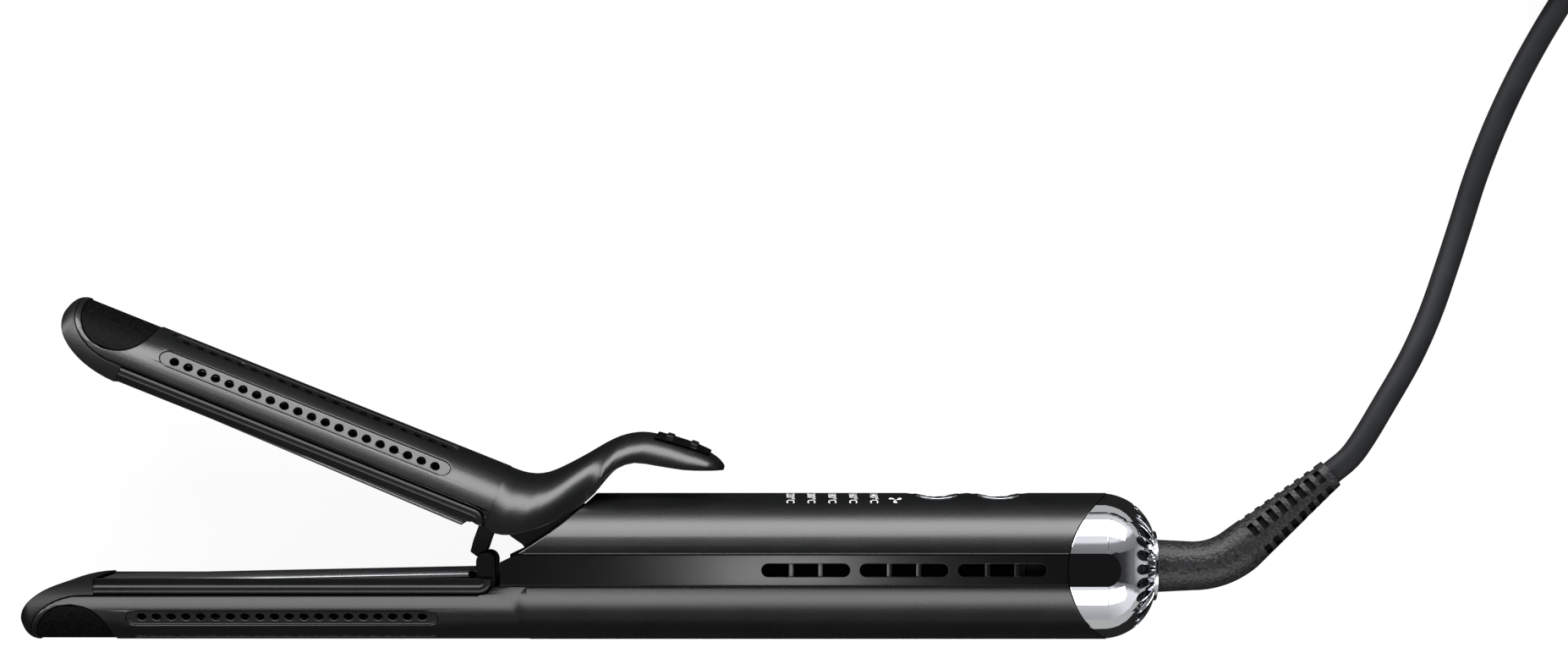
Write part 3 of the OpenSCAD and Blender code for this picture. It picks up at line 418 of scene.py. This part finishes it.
# %% Paint the nodes
FINISH = {
    satin_paint: ["lower_shell", "upper_shell", "clamp_shell"],
    pad_rubber: ["lower_tip_pad", "clamp_tip_pad", "thumb_pad"],
    frame_nylon: ["lower_frame", "clamp_frame", "wire_guide", "clamp_yoke", "impeller"],
    painted_shade_nylon: ["chassis", "fan_housing"],
    band_gloss: ["side_bands", "power_button", "mode_button", "button_switches"],
    chrome: ["end_cap"],
    filter_weave: ["intake_filter"],
    drawn_steel: ["hinge_pin", "hinge_spring", "fan_motor", "chassis_screws", "swivel_washer",
                  "lower_plate_spring", "upper_plate_spring"],
    plate_coat: ["lower_plate", "upper_plate"],
    heater_ceramic: ["lower_heater", "upper_heater"],
    board_green: ["circuit_board"],
    relief_tpe: ["strain_relief"],
    lead_pvc: ["cord_tie", "plug_body"],
    pin_nickel: ["plug_pins"],
}
for material, names in FINISH.items():
    for name in names:
        node = frame["nodes"][name]
        node.data.materials.clear()
        node.data.materials.append(material)
print("painted:", sum(len(names) for names in FINISH.values()))

# %% [markdown]
# ### One skin from loose triangles
# A CAD piece comes as loose triangles, which can't be bevelled or shaded smooth. A copy of
# it has its doubles merged and the triangles of each flat face joined. The dome's many
# narrow slots leave slivers, so its points are merged from a little further apart.

# %% A merged copy of a CAD piece
MERGE_WITHIN = 0.002
MERGE_WITHIN_ON = {"end_cap": 0.02}
FLAT_WITHIN = math.radians(0.4)


def merged_copy(name):
    piece = bpy.data.objects.new(name + "_finished", frame["nodes"][name].data.copy())
    bpy.context.scene.collection.objects.link(piece)
    bpy.ops.object.select_all(action="DESELECT")
    piece.select_set(True)
    bpy.context.view_layer.objects.active = piece
    bpy.ops.mesh.customdata_custom_splitnormals_clear()
    bpy.ops.object.mode_set(mode="EDIT")
    bpy.ops.mesh.select_all(action="SELECT")
    bpy.ops.mesh.remove_doubles(threshold=MERGE_WITHIN_ON.get(name, MERGE_WITHIN) * MM)
    bpy.ops.mesh.dissolve_limited(angle_limit=FLAT_WITHIN)
    bpy.ops.object.mode_set(mode="OBJECT")
    return piece


# %% [markdown]
# ### Softened edges
# No moulded or painted edge is perfectly sharp: it is rounded by a tenth of a millimetre or
# two, and that little round is what catches the light along seams, tracks and slots. A
# Bevel modifier with weights rounds only the edges that turn sharply. The ring where the
# lever flows out of the clamp's barrel is left out, because the two are one skin there.

# %% Round the sharp edges
PIVOT = tool(156.6, 9.2)
OPEN_ANGLE = math.radians(21.8)
LEVER_JOIN_X = (125.2, 126.4)
BEVEL_ABOVE = math.radians(35)


def at_lever_join(place):
    """Whether a place lies on the ring where the lever's skin meets the barrel."""
    away = place - PIVOT
    closed_x = (away.x * math.cos(OPEN_ANGLE) - away.y * math.sin(OPEN_ANGLE) + PIVOT.x) / MM
    return LEVER_JOIN_X[0] < closed_x - FLOOR_PLACE[0] < LEVER_JOIN_X[1]


def round_edges(piece, edge_mm, has_lever):
    shape = bmesh.new()
    shape.from_mesh(piece.data)
    weight = shape.edges.layers.float.new("bevel_weight_edge")
    for edge in shape.edges:
        joins = has_lever and all(at_lever_join(v.co) for v in edge.verts)
        if edge.calc_face_angle(0) > BEVEL_ABOVE and not joins:
            edge[weight] = 1
    shape.to_mesh(piece.data)
    shape.free()
    bevel = piece.modifiers.new("soft_edge", "BEVEL")
    bevel.width = edge_mm * MM
    bevel.segments = 2
    bevel.limit_method = "WEIGHT"
    bevel.use_clamp_overlap = False
    bpy.ops.object.modifier_apply(modifier=bevel.name)


# %% [markdown]
# ### Finished rigid pieces
# Each visible piece gets its rounded copy, with an edge in millimetres that suits how it is
# made: the moulded plug's is the widest, a painted one is narrower, and those of the dome,
# the bands and the plates are the crispest. Smooth shading hides the facets of the curved
# faces, and weighted normals keep the flat ones flat. The copy then stands for its CAD
# piece, and moves with the same body.

# %% Copies that stand for their CAD pieces
SOFT_EDGE = {"lower_shell": 0.35, "upper_shell": 0.35, "clamp_shell": 0.35, "side_bands": 0.16,
             "end_cap": 0.14, "lower_frame": 0.2, "clamp_frame": 0.2, "lower_plate": 0.16,
             "upper_plate": 0.16, "lower_tip_pad": 0.15, "clamp_tip_pad": 0.15,
             "thumb_pad": 0.15, "clamp_yoke": 0.2, "wire_guide": 0.25, "power_button": 0.25,
             "mode_button": 0.25, "plug_body": 0.8, "cord_tie": 0.25, "strain_relief": 0}
SMOOTH_UNDER = 30
SMOOTH_UNDER_ON = {"end_cap": 12}
FLAT_FACE_WEIGHT = 80
body_of = {node: body for body, nodes in frame["record"]["behaviour"]["bodies"].items()
           for node in nodes}
finished = {}
for name, edge_mm in SOFT_EDGE.items():
    piece = merged_copy(name)
    if edge_mm:
        round_edges(piece, edge_mm, name == "clamp_shell")
    smooth_under = math.radians(SMOOTH_UNDER_ON.get(name, SMOOTH_UNDER))
    bpy.ops.object.shade_smooth_by_angle(angle=smooth_under)
    even = piece.modifiers.new("flat_faces_stay_flat", "WEIGHTED_NORMAL")
    even.keep_sharp = True
    even.weight = FLAT_FACE_WEIGHT
    bpy.ops.object.modifier_apply(modifier=even.name)
    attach(piece, body_of[name])
    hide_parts(name)
    finished[name] = piece
print("finished pieces and their faces:", {n: len(o.data.polygons) for n, o in finished.items()})

# %% [markdown]
# ### Painted shade in the strain relief's slots
# The relief's slots are deep and narrow, and almost no light comes out of them. That shade
# is painted: every face that lies under the sleeve's tapered skin is given the nylon that is
# darkened as shade. Picking the faces by their distance from the sleeve's axis finds them
# all, whatever their shape.

# %% Faces below the relief's skin
SLEEVE_R = (6.5, 4.05)
SLOTS_SPAN = (2.5, 29.5)
SKIN_DEPTH = 0.3
sleeve = finished["strain_relief"].data
# The slot floors get painted shade, not the elastomer's own colour.
sleeve.materials.append(painted_shade_nylon)
sleeve_foot = tool(*RELIEF_TIP) - RELIEF_DIR * SLEEVE_LENGTH * MM
for face in sleeve.polygons:
    from_foot = (face.center - sleeve_foot) / MM
    along = from_foot.dot(RELIEF_DIR)
    from_axis = (from_foot - along * RELIEF_DIR).length
    skin_r = SLEEVE_R[0] + (SLEEVE_R[1] - SLEEVE_R[0]) * along / SLEEVE_LENGTH
    if SLOTS_SPAN[0] < along < SLOTS_SPAN[1] and from_axis < skin_r - SKIN_DEPTH:
        face.material_index = 1
print("dark faces:", sum(face.material_index for face in sleeve.polygons))

# %% [markdown]
# ### Raised bars on the thumb pad
# Two low bars lie across the pad, so that a thumb finds its middle without looking. Each is
# a cube with rounded edges. A ray from above finds the pad's surface and its slope, so the
# bar can be laid flat on the curved pad and sunk into it, and only its top stands out.

# %% Two bars across the pad
BAR_X = (173.2, 179.6)
BAR_SIZE = (2.1, 1.6, 10.9)
BAR_SUNK = 0.72
BAR_ROUND = 0.4
RAY_FROM_Y = 80
for number, x in enumerate(BAR_X, 1):
    _, place, normal, _ = finished["thumb_pad"].ray_cast(tool(x, RAY_FROM_Y), Vector((0, -1, 0)))
    bpy.ops.object.select_all(action="DESELECT")
    bpy.ops.mesh.primitive_cube_add(size=1, location=(0, 0, 0))
    bar = bpy.context.object
    bar.name = f"thumb_pad_bar_{number}"
    turn = normal.to_track_quat("Y", "Z")
    for vertex in bar.data.vertices:
        cube_place = Vector(v * size * MM for v, size in zip(vertex.co, BAR_SIZE))
        vertex.co = place + turn @ (cube_place + Vector((0, -BAR_SUNK * MM, 0)))
    rounding = bar.modifiers.new("rounding", "BEVEL")
    rounding.width = BAR_ROUND * MM
    rounding.segments = 3
    bpy.ops.object.modifier_apply(modifier=rounding.name)
    bpy.ops.object.shade_smooth_by_angle(angle=math.radians(40))
    bar.data.materials.append(frame_nylon)
    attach(bar, "clamp")

# %% [markdown]
# ## The lead
# The lead is one round tube along its route. A curve with a round bevel is the quickest
# way to get an even tube, and it is made a mesh.

# %% Tube along the route
bpy.ops.curve.primitive_bezier_curve_add(location=(0, 0, 0))
lead = bpy.context.object
lead.name = "lead"
lead.data.splines.clear()
spline = lead.data.splines.new("POLY")
spline.points.add(len(lead_line) - 1)
for point, place in zip(spline.points, lead_line):
    point.co = (*place, 1)
lead.data.dimensions = "3D"
lead.data.twist_mode = "Z_UP"
lead.data.bevel_depth = CORD_D / 2 * MM
lead.data.bevel_resolution = 4
lead.data.use_fill_caps = True
bpy.ops.object.convert(target="MESH")
bpy.ops.object.shade_smooth()
lead.data.materials.clear()
lead.data.materials.append(lead_pvc)
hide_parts("cord_run", "cord_coil", "cord_tail")
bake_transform(lead)
print("lead's faces:", len(lead.data.polygons))

# %% [markdown]
# ## Temperature marks
# The marks are printed round the grip, beside the lever: five temperatures and a small fan
# for the cold setting. A texture would blur at this size, so each is text made into a mesh.
# It is wrapped on the cylinder by turning its reading direction into an angle.

# %% Wrap a flat print on the grip
PRINT_LIFT = 0.02


def wrap_on_grip(piece, x, from_top, name):
    """x is the print's place along the tool; the print reads away from the top line."""
    for vertex in piece.data.vertices:
        along, up, lift = vertex.co
        angle = (from_top + along) / HANDLE_R
        r = HANDLE_R + PRINT_LIFT + lift
        vertex.co = tool(x + up, r * math.cos(angle), r * math.sin(angle))
    piece.name = name
    piece.data.materials.clear()
    piece.data.materials.append(mark_print)
    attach(piece, "handle")


# %% [markdown]
# ### Five temperatures
# The figures stand in a row at one pitch, so one piece of text in a loop makes them all.
# Printed strokes spread a little, which the text's offset shows, and the ink has a thickness
# of a few hundredths of a millimetre, so that it doesn't lie in the paint's own plane.

# %% Figures at one pitch
MARK_X0 = 203.9
MARK_PITCH = 5.52
MARK_FROM_TOP = 1.9
TEXT_SIZE = 3.0
STROKE_GAIN = 0.01
INK_HALF = 0.01
for i, degrees in enumerate((220, 200, 180, 160, 140)):
    bpy.ops.object.select_all(action="DESELECT")
    bpy.ops.object.text_add(location=(0, 0, 0))
    mark = bpy.context.object
    mark.data.body = f"{degrees}°C"
    mark.data.size = TEXT_SIZE
    mark.data.offset = STROKE_GAIN
    mark.data.extrude = INK_HALF
    bpy.ops.object.convert(target="MESH")
    wrap_on_grip(mark, MARK_X0 + MARK_PITCH * i, MARK_FROM_TOP, f"mark_{degrees}")

# %% [markdown]
# ### Fan mark
# The cold setting has a small fan of three curled drops. One drop is a circle whose half
# towards the hub is drawn out and narrowed. It is made three times, each a third of a turn
# on, and the three are joined and given the ink's thickness.

# %% Three drops round a hub
FAN_X = 232.6
FAN_FROM_TOP = 7.7
FAN_TURNS = (100, 220, 340)
DROP_R = 0.52
DROP_FROM_HUB = 1.35
DROP_DRAWN_OUT = 2.4
DROP_TAPER = 1.5
DROP_NARROWEST = 0.32
DROP_CURL = 0.22
blades = []
for turn in FAN_TURNS:
    bpy.ops.object.select_all(action="DESELECT")
    bpy.ops.mesh.primitive_circle_add(vertices=24, radius=DROP_R, fill_type="NGON",
                                      location=(0, 0, 0))
    blade = bpy.context.object
    for vertex in blade.data.vertices:
        x, y = vertex.co.x, vertex.co.y
        along = DROP_FROM_HUB + x if x > 0 else DROP_FROM_HUB + x * DROP_DRAWN_OUT
        width = y * (1 if x > 0 else max(DROP_NARROWEST, 1 + x * DROP_TAPER))
        turned = math.radians(turn) + DROP_CURL * along
        vertex.co = (along * math.cos(turned) - width * math.sin(turned),
                     along * math.sin(turned) + width * math.cos(turned), 0)
    blades.append(blade)
bpy.ops.object.select_all(action="DESELECT")
for blade in blades:
    blade.select_set(True)
bpy.context.view_layer.objects.active = blades[0]
bpy.ops.object.join()
fan_mark = bpy.context.object
bpy.ops.object.mode_set(mode="EDIT")
bpy.ops.mesh.select_all(action="SELECT")
bpy.ops.mesh.extrude_region_move(TRANSFORM_OT_translate={"value": (0, 0, 2 * INK_HALF)})
bpy.ops.mesh.select_all(action="SELECT")
bpy.ops.mesh.normals_make_consistent(inside=False)
bpy.ops.object.mode_set(mode="OBJECT")
wrap_on_grip(fan_mark, FAN_X, FAN_FROM_TOP, "mark_fan")
print("fan mark's faces:", len(fan_mark.data.polygons))

# %% [markdown]
# ## Button rings
# Each button sits in a shallow thumb hollow, and a thin bright ring lines the hollow's edge.
# A torus is pressed on the grip: every point is moved down to the shell's surface below it,
# which is the grip's cylinder or, along the grip, the hollow's sphere.

# %% Rings that follow the grip
BUTTON_X = {"power_button": 243.7, "mode_button": 260.1}
RING_R = 6.85
RING_WIRE = 0.22
RING_FLATTENED = 0.8
HOLLOW_R = 26.0
HOLLOW_Y = HANDLE_R + 24.6


def hollow_height(along, across):
    """The shell's height at a place seen from the button's middle."""
    on_grip = math.sqrt(HANDLE_R ** 2 - across ** 2)
    in_hollow = HOLLOW_Y - math.sqrt(HOLLOW_R ** 2 - along ** 2 - across ** 2)
    return min(on_grip, in_hollow)


for name, x in BUTTON_X.items():
    bpy.ops.object.select_all(action="DESELECT")
    bpy.ops.mesh.primitive_torus_add(major_radius=RING_R, minor_radius=RING_WIRE,
                                     major_segments=96, minor_segments=10, location=(0, 0, 0))
    ring = bpy.context.object
    for vertex in ring.data.vertices:
        along, across, lift = vertex.co
        reach = math.hypot(along, across)
        at_x, at_z = along * RING_R / reach, across * RING_R / reach
        vertex.co = tool(x + along, hollow_height(at_x, at_z) + lift * RING_FLATTENED, -across)
    bpy.ops.object.shade_smooth()
    ring.name = name + "_ring"
    ring.data.materials.append(chrome)
    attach(ring, "handle")

# %% [markdown]
# ### Signs on the buttons
# The first button carries the common on and off sign, a broken ring with a bar, and the
# second a plus and a minus. The strokes are grids, which have enough points to follow the
# dished tops. They lie on the buttons and move with them.

# %% Strokes in the plane of a sign
STROKE = 0.4


def flat_bar(length, centre, turn):
    """A thin flat bar with cut ends."""
    bpy.ops.mesh.primitive_grid_add(x_subdivisions=12, y_subdivisions=2, size=1,
                                    location=(0, 0, 0))
    bar = bpy.context.object
    for vertex in bar.data.vertices:
        x, y = vertex.co.x * length, vertex.co.y * STROKE
        vertex.co = (centre[0] + x * math.cos(turn) - y * math.sin(turn),
                     centre[1] + x * math.sin(turn) + y * math.cos(turn), 0)
    return bar


def broken_ring(radius, gap):
    """A flat ring that is open at its top, as a bar bent round."""
    bpy.ops.mesh.primitive_grid_add(x_subdivisions=48, y_subdivisions=2, size=1,
                                    location=(0, 0, 0))
    ring = bpy.context.object
    for vertex in ring.data.vertices:
        angle = math.pi / 2 + gap / 2 + (vertex.co.x + 0.5) * (2 * math.pi - gap)
        r = radius - vertex.co.y * STROKE
        vertex.co = (r * math.cos(angle), r * math.sin(angle), 0)
    return ring


# %% [markdown]
# ### Two signs on two buttons
# Each sign's strokes are joined into one piece, and every point is then lifted to the sphere
# that the button's top is cut from. Doing that last keeps the drawing flat and simple.

# %% Signs that lie on the dished buttons
DISH_R = 26.0
DISH_Y = HANDLE_R + 24.1
UPRIGHT = math.pi / 2
POWER_RING_R = 1.9
POWER_RING_GAP = math.radians(70)
POWER_BAR = 2.0
POWER_BAR_UP = 1.35
ARM = 2.2
ARM_ASIDE = 1.7


def lay_on_button(piece, name, body):
    for vertex in piece.data.vertices:
        along, across, lift = vertex.co
        dish = DISH_Y - math.sqrt(DISH_R ** 2 - along ** 2 - across ** 2)
        vertex.co = tool(BUTTON_X[body] + along, dish + PRINT_LIFT + lift, -across)
    piece.name = name
    piece.data.materials.append(mark_print)
    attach(piece, body)


def on_and_off():
    return [broken_ring(POWER_RING_R, POWER_RING_GAP),
            flat_bar(POWER_BAR, (0, POWER_BAR_UP), UPRIGHT)]


def plus_and_minus():
    return [flat_bar(ARM, (-ARM_ASIDE, 0), 0), flat_bar(ARM, (-ARM_ASIDE, 0), UPRIGHT),
            flat_bar(ARM, (ARM_ASIDE, 0), 0)]


for body, draw in (("power_button", on_and_off), ("mode_button", plus_and_minus)):
    bpy.ops.object.select_all(action="DESELECT")
    strokes = draw()
    bpy.ops.object.select_all(action="DESELECT")
    for stroke in strokes:
        stroke.select_set(True)
    bpy.context.view_layer.objects.active = strokes[0]
    bpy.ops.object.join()
    lay_on_button(bpy.context.object, body + "_sign", body)

# %% [markdown]
# ## Floor
# The floor is a sheet of paper with four looks, told apart by Light Path. To the camera it
# glows almost white, and a dim matt share of it keeps the shadow. To the tool's matt faces
# it is plain paper. Satin paint would turn grey over white paper, so its blurred
# reflections see the paper dark, and a little lighter on the far side. A mirror, which is
# what Is Singular Ray finds, sees pale paper outside a dark strip under the tool, as when
# black flags lie along it.

# %% Where the paper is pale to a mirror
FLOOR_SIZE = 6
FLOOR_DROP = 0.0002
STRIP_HALF = 78
STRIP_END_X = 300
STRIP_SLANT = -0.8
PAST_TOOL_X = 400
bpy.ops.object.select_all(action="DESELECT")
bpy.ops.mesh.primitive_plane_add(size=FLOOR_SIZE, location=(0, 0, -FLOOR_DROP))
floor = bpy.context.object
floor.name = "floor"
paper, tree, shader = new_material("white_paper", "#cfcfcf", 0.9)
rays = add_node(tree, "ShaderNodeLightPath")
place = add_node(tree, "ShaderNodeTexCoord")
axes = add_node(tree, "ShaderNodeSeparateXYZ", [], [("Vector", place.outputs["Object"])])
beside = add_node(tree, "ShaderNodeMath", [("operation", "SUBTRACT"), (1, FLOOR_PLACE[1] * MM)],
                  [(0, axes.outputs["Y"])])
aside = add_node(tree, "ShaderNodeMath", [("operation", "ABSOLUTE")], [(0, beside.outputs[0])])
beyond = add_node(tree, "ShaderNodeMath", [("operation", "GREATER_THAN"), (1, STRIP_HALF * MM)],
                  [(0, aside.outputs[0])])
slant = add_node(tree, "ShaderNodeMath", [("operation", "MULTIPLY_ADD"), (1, STRIP_SLANT)],
                 [(0, aside.outputs[0]), (2, axes.outputs["X"])])
before_end = add_node(tree, "ShaderNodeMath",
                      [("operation", "LESS_THAN"), (1, (STRIP_END_X + FLOOR_PLACE[0]) * MM)],
                      [(0, slant.outputs[0])])
side_paper = add_node(tree, "ShaderNodeMath", [("operation", "MULTIPLY")],
                      [(0, beyond.outputs[0]), (1, before_end.outputs[0])])
behind = add_node(tree, "ShaderNodeMath",
                  [("operation", "GREATER_THAN"), (1, (PAST_TOOL_X + FLOOR_PLACE[0]) * MM)],
                  [(0, axes.outputs["X"])])
pale_places = add_node(tree, "ShaderNodeMath", [("operation", "MAXIMUM")],
                       [(0, side_paper.outputs[0]), (1, behind.outputs[0])])
print("floor's size in metres:", FLOOR_SIZE)

# %% [markdown]
# ### What each ray sees of the paper
# Each kind of ray could be given a floor of its own, but those would lie in one plane and
# flicker. Mixing the looks in one material avoids that. Where the two levels that glossy
# rays see differ, the mirror's comes in through Map Range, over the satin's.

# %% The paper's four looks
PAPER_IN_CHROME = 0.5
PAPER_IN_SATIN = 0.02
FAR_PAPER_IN_SATIN = 0.16
FAR_PAPER_Y = (60, 200)
PAPER_GLOW = 0.93
PAPER_MATT = 0.13
WHITE = (1, 1, 1, 1)
no_mirror = add_node(tree, "ShaderNodeMath", [("operation", "SUBTRACT"), (0, 1.0)],
                     [(1, rays.outputs["Is Singular Ray"])])
in_mirror = add_node(tree, "ShaderNodeMath", [("operation", "MULTIPLY")],
                     [(0, pale_places.outputs[0]), (1, rays.outputs["Is Singular Ray"])])
far_side = add_node(tree, "ShaderNodeMapRange",
                    [("From Min", FAR_PAPER_Y[0] * MM), ("From Max", FAR_PAPER_Y[1] * MM),
                     ("To Min", 0.0), ("To Max", FAR_PAPER_IN_SATIN - PAPER_IN_SATIN)],
                    [("Value", beside.outputs[0])])
in_satin = add_node(tree, "ShaderNodeMath", [("operation", "MULTIPLY_ADD"), (2, PAPER_IN_SATIN)],
                    [(0, far_side.outputs["Result"]), (1, no_mirror.outputs[0])])
in_gloss = add_node(tree, "ShaderNodeMapRange", [("To Max", PAPER_IN_CHROME)],
                    [("Value", in_mirror.outputs[0]), ("To Min", in_satin.outputs[0])])
mirrored = add_node(tree, "ShaderNodeEmission", [("Color", WHITE)],
                    [("Strength", in_gloss.outputs["Result"])])
glow = add_node(tree, "ShaderNodeEmission", [("Color", WHITE), ("Strength", PAPER_GLOW)])
matt = add_node(tree, "ShaderNodeBsdfDiffuse", [("Color", (*[PAPER_MATT] * 3, 1))])
shown = add_node(tree, "ShaderNodeAddShader", [], [(0, glow.outputs[0]), (1, matt.outputs[0])])
to_object = add_node(tree, "ShaderNodeMixShader", [],
                     [(0, rays.outputs["Is Glossy Ray"]), (1, shader.outputs[0]),
                      (2, mirrored.outputs[0])])
seen = add_node(tree, "ShaderNodeMath", [("operation", "MAXIMUM")],
                [(0, rays.outputs["Is Camera Ray"]), (1, rays.outputs["Is Transmission Ray"])])
mixed = add_node(tree, "ShaderNodeMixShader", [],
                 [(0, seen.outputs[0]), (1, to_object.outputs[0]), (2, shown.outputs[0])])
tree.links.new(mixed.outputs[0], tree.nodes["Material Output"].inputs["Surface"])
floor.data.materials.append(paper)
print("floor's nodes:", len(tree.nodes))

# %% [markdown]
# ## World
# The world takes the place of the walls of a studio, and Light Path gives it four looks too.
# The camera sees white, and matt faces get a plain level. Satin paint sees a dim sky with a
# brighter horizon, which draws long soft bands along the barrels. A mirror sees white
# boards on both sides, dark overhead, and a pale end, which is how chrome is made to look
# like chrome: by hard edges between white and black.

# %% What satin paint and a mirror see
SATIN_HORIZON = 0.3
SATIN_SKY = 0.05
SKY_FROM = 0.25
COOL = 1.04
BOARDS = [(-0.8, 0.85), (-0.52, 0.95), (-0.46, 0.28), (-0.385, 0.2), (-0.375, 0.01),
          (0.375, 0.01), (0.385, 0.2), (0.6, 0.3), (0.66, 0.95), (0.85, 0.9)]
BOARD_ENDS = ((0.0, (0.42, 0.43, 0.45)), (1.0, (0.7, 0.71, 0.73)))
END_WALL = [(0.35, 0.02), (0.7, 0.05), (0.9, 0.2)]
END_WALL_ENDS = ((0.2, (0.006, 0.006, 0.006)), (1.0, (0.6, 0.62, 0.64)))


def set_levels(node, ends, between):
    """Ends are (position, RGB) of a ramp's first and last step, between are (position, grey)."""
    steps = node.color_ramp.elements
    for step, (position, shade) in zip((steps[0], steps[1]), ends):
        step.position, step.color = position, (*shade, 1)
    for position, level in between:
        steps.new(position).color = (level, level, level * COOL, 1)


world = bpy.data.worlds.new("studio")
bpy.context.scene.world = world
world.use_nodes = True
tree = world.node_tree
rays = add_node(tree, "ShaderNodeLightPath")
place = add_node(tree, "ShaderNodeTexCoord")
toward = add_node(tree, "ShaderNodeSeparateXYZ", [], [("Vector", place.outputs["Generated"])])
height = add_node(tree, "ShaderNodeMapRange",
                  [("interpolation_type", "SMOOTHSTEP"), ("From Min", 0.0),
                   ("From Max", SKY_FROM), ("To Min", SATIN_HORIZON), ("To Max", SATIN_SKY)],
                  [("Value", toward.outputs["Z"])])
sideways = add_node(tree, "ShaderNodeMath", [("operation", "MULTIPLY_ADD"), (1, 0.5), (2, 0.5)],
                    [(0, toward.outputs["Y"])])
boards = add_node(tree, "ShaderNodeValToRGB", [], [("Fac", sideways.outputs[0])])
set_levels(boards, BOARD_ENDS, [((toward_y + 1) / 2, level) for toward_y, level in BOARDS])
end_wall = add_node(tree, "ShaderNodeValToRGB", [], [("Fac", toward.outputs["X"])])
set_levels(end_wall, END_WALL_ENDS, END_WALL)
studio = add_node(tree, "ShaderNodeMix",
                  [("data_type", "RGBA"), ("blend_type", "LIGHTEN"), (0, 1.0)],
                  [(6, boards.outputs["Color"]), (7, end_wall.outputs["Color"])])
print("steps from side to side:", len(boards.color_ramp.elements))

# %% [markdown]
# ### Mixing the world's looks
# One mix shader chooses between satin and mirror, the next between those and matt faces, and
# the last lets the camera and clear materials see the white backdrop. The object's light
# doesn't change when the backdrop does.

# %% The world's four looks
PLAIN_LEVEL = 0.25
plain = add_node(tree, "ShaderNodeBackground", [("Color", WHITE), ("Strength", PLAIN_LEVEL)])
satin_view = add_node(tree, "ShaderNodeBackground", [("Color", WHITE)],
                      [("Strength", height.outputs[0])])
chrome_view = add_node(tree, "ShaderNodeBackground", [("Strength", 1.0)],
                       [("Color", studio.outputs[2])])
backdrop = add_node(tree, "ShaderNodeBackground", [("Color", WHITE), ("Strength", 1.0)])
gloss = add_node(tree, "ShaderNodeMixShader", [],
                 [(0, rays.outputs["Is Singular Ray"]), (1, satin_view.outputs[0]),
                  (2, chrome_view.outputs[0])])
to_object = add_node(tree, "ShaderNodeMixShader", [],
                     [(0, rays.outputs["Is Glossy Ray"]), (1, plain.outputs[0]),
                      (2, gloss.outputs[0])])
seen = add_node(tree, "ShaderNodeMath", [("operation", "MAXIMUM")],
                [(0, rays.outputs["Is Camera Ray"]), (1, rays.outputs["Is Transmission Ray"])])
to_camera = add_node(tree, "ShaderNodeMixShader", [],
                     [(0, seen.outputs[0]), (1, to_object.outputs[0]), (2, backdrop.outputs[0])])
tree.links.new(to_camera.outputs[0], tree.nodes["World Output"].inputs["Surface"])
print("world's nodes:", len(tree.nodes))

# %% [markdown]
# ## Lamps
# Two broad soft boxes light the tool from the far and the near side, which gives the satin
# paint its long bands. A small lamp above, a little to the near side, adds the narrow lines
# of light on rounded edges. Places and sizes are in metres, powers in watts.


# %% Soft boxes
def soft_box(name, place, aim, size, power):
    bpy.ops.object.light_add(type="AREA", location=place)
    lamp = bpy.context.object
    lamp.name = name
    lamp.data.shape = "RECTANGLE"
    lamp.data.size, lamp.data.size_y = size
    lamp.data.energy = power
    lamp.rotation_euler = (Vector(aim) - Vector(place)).to_track_quat("-Z", "Y").to_euler()
    return lamp


MIDDLE = (0, 0, 0)
LAMP_X = 201
LAMP_PLACE = tuple(tool(LAMP_X, -62, 990))
LAMP_AIM = tuple(tool(LAMP_X, 0, 0))
soft_box("box_far_side", (0, 1.18, 0.55), MIDDLE, (2.6, 0.7), 37)
soft_box("box_near_side", (0, -1.0, 0.9), MIDDLE, (2.6, 0.6), 17)
small_lamp = soft_box("lamp_above", LAMP_PLACE, LAMP_AIM, (0.07, 0.07), 0.15)

# %% [markdown]
# ### The small lamp in the chrome
# In a mirror the small lamp would be a hard white square. A studio would hide it behind a
# flag. Here its strength drops to a hundredth for the rays that a mirror sends out.

# %% The small lamp is dim in the chrome
IN_MIRROR = 0.01
small_lamp.data.use_nodes = True
tree = small_lamp.data.node_tree
rays = add_node(tree, "ShaderNodeLightPath")
dimmed = add_node(tree, "ShaderNodeMapRange", [("To Min", 1.0), ("To Max", IN_MIRROR)],
                  [("Value", rays.outputs["Is Singular Ray"])])
tree.links.new(dimmed.outputs["Result"], tree.nodes["Emission"].inputs["Strength"])
print("small lamp's share in a mirror:", IN_MIRROR)

# %% [markdown]
# ## Colour settings
# Standard colour keeps each hex value about as it was written.

# %% Colour settings
bpy.context.scene.view_settings.view_transform = "Standard"
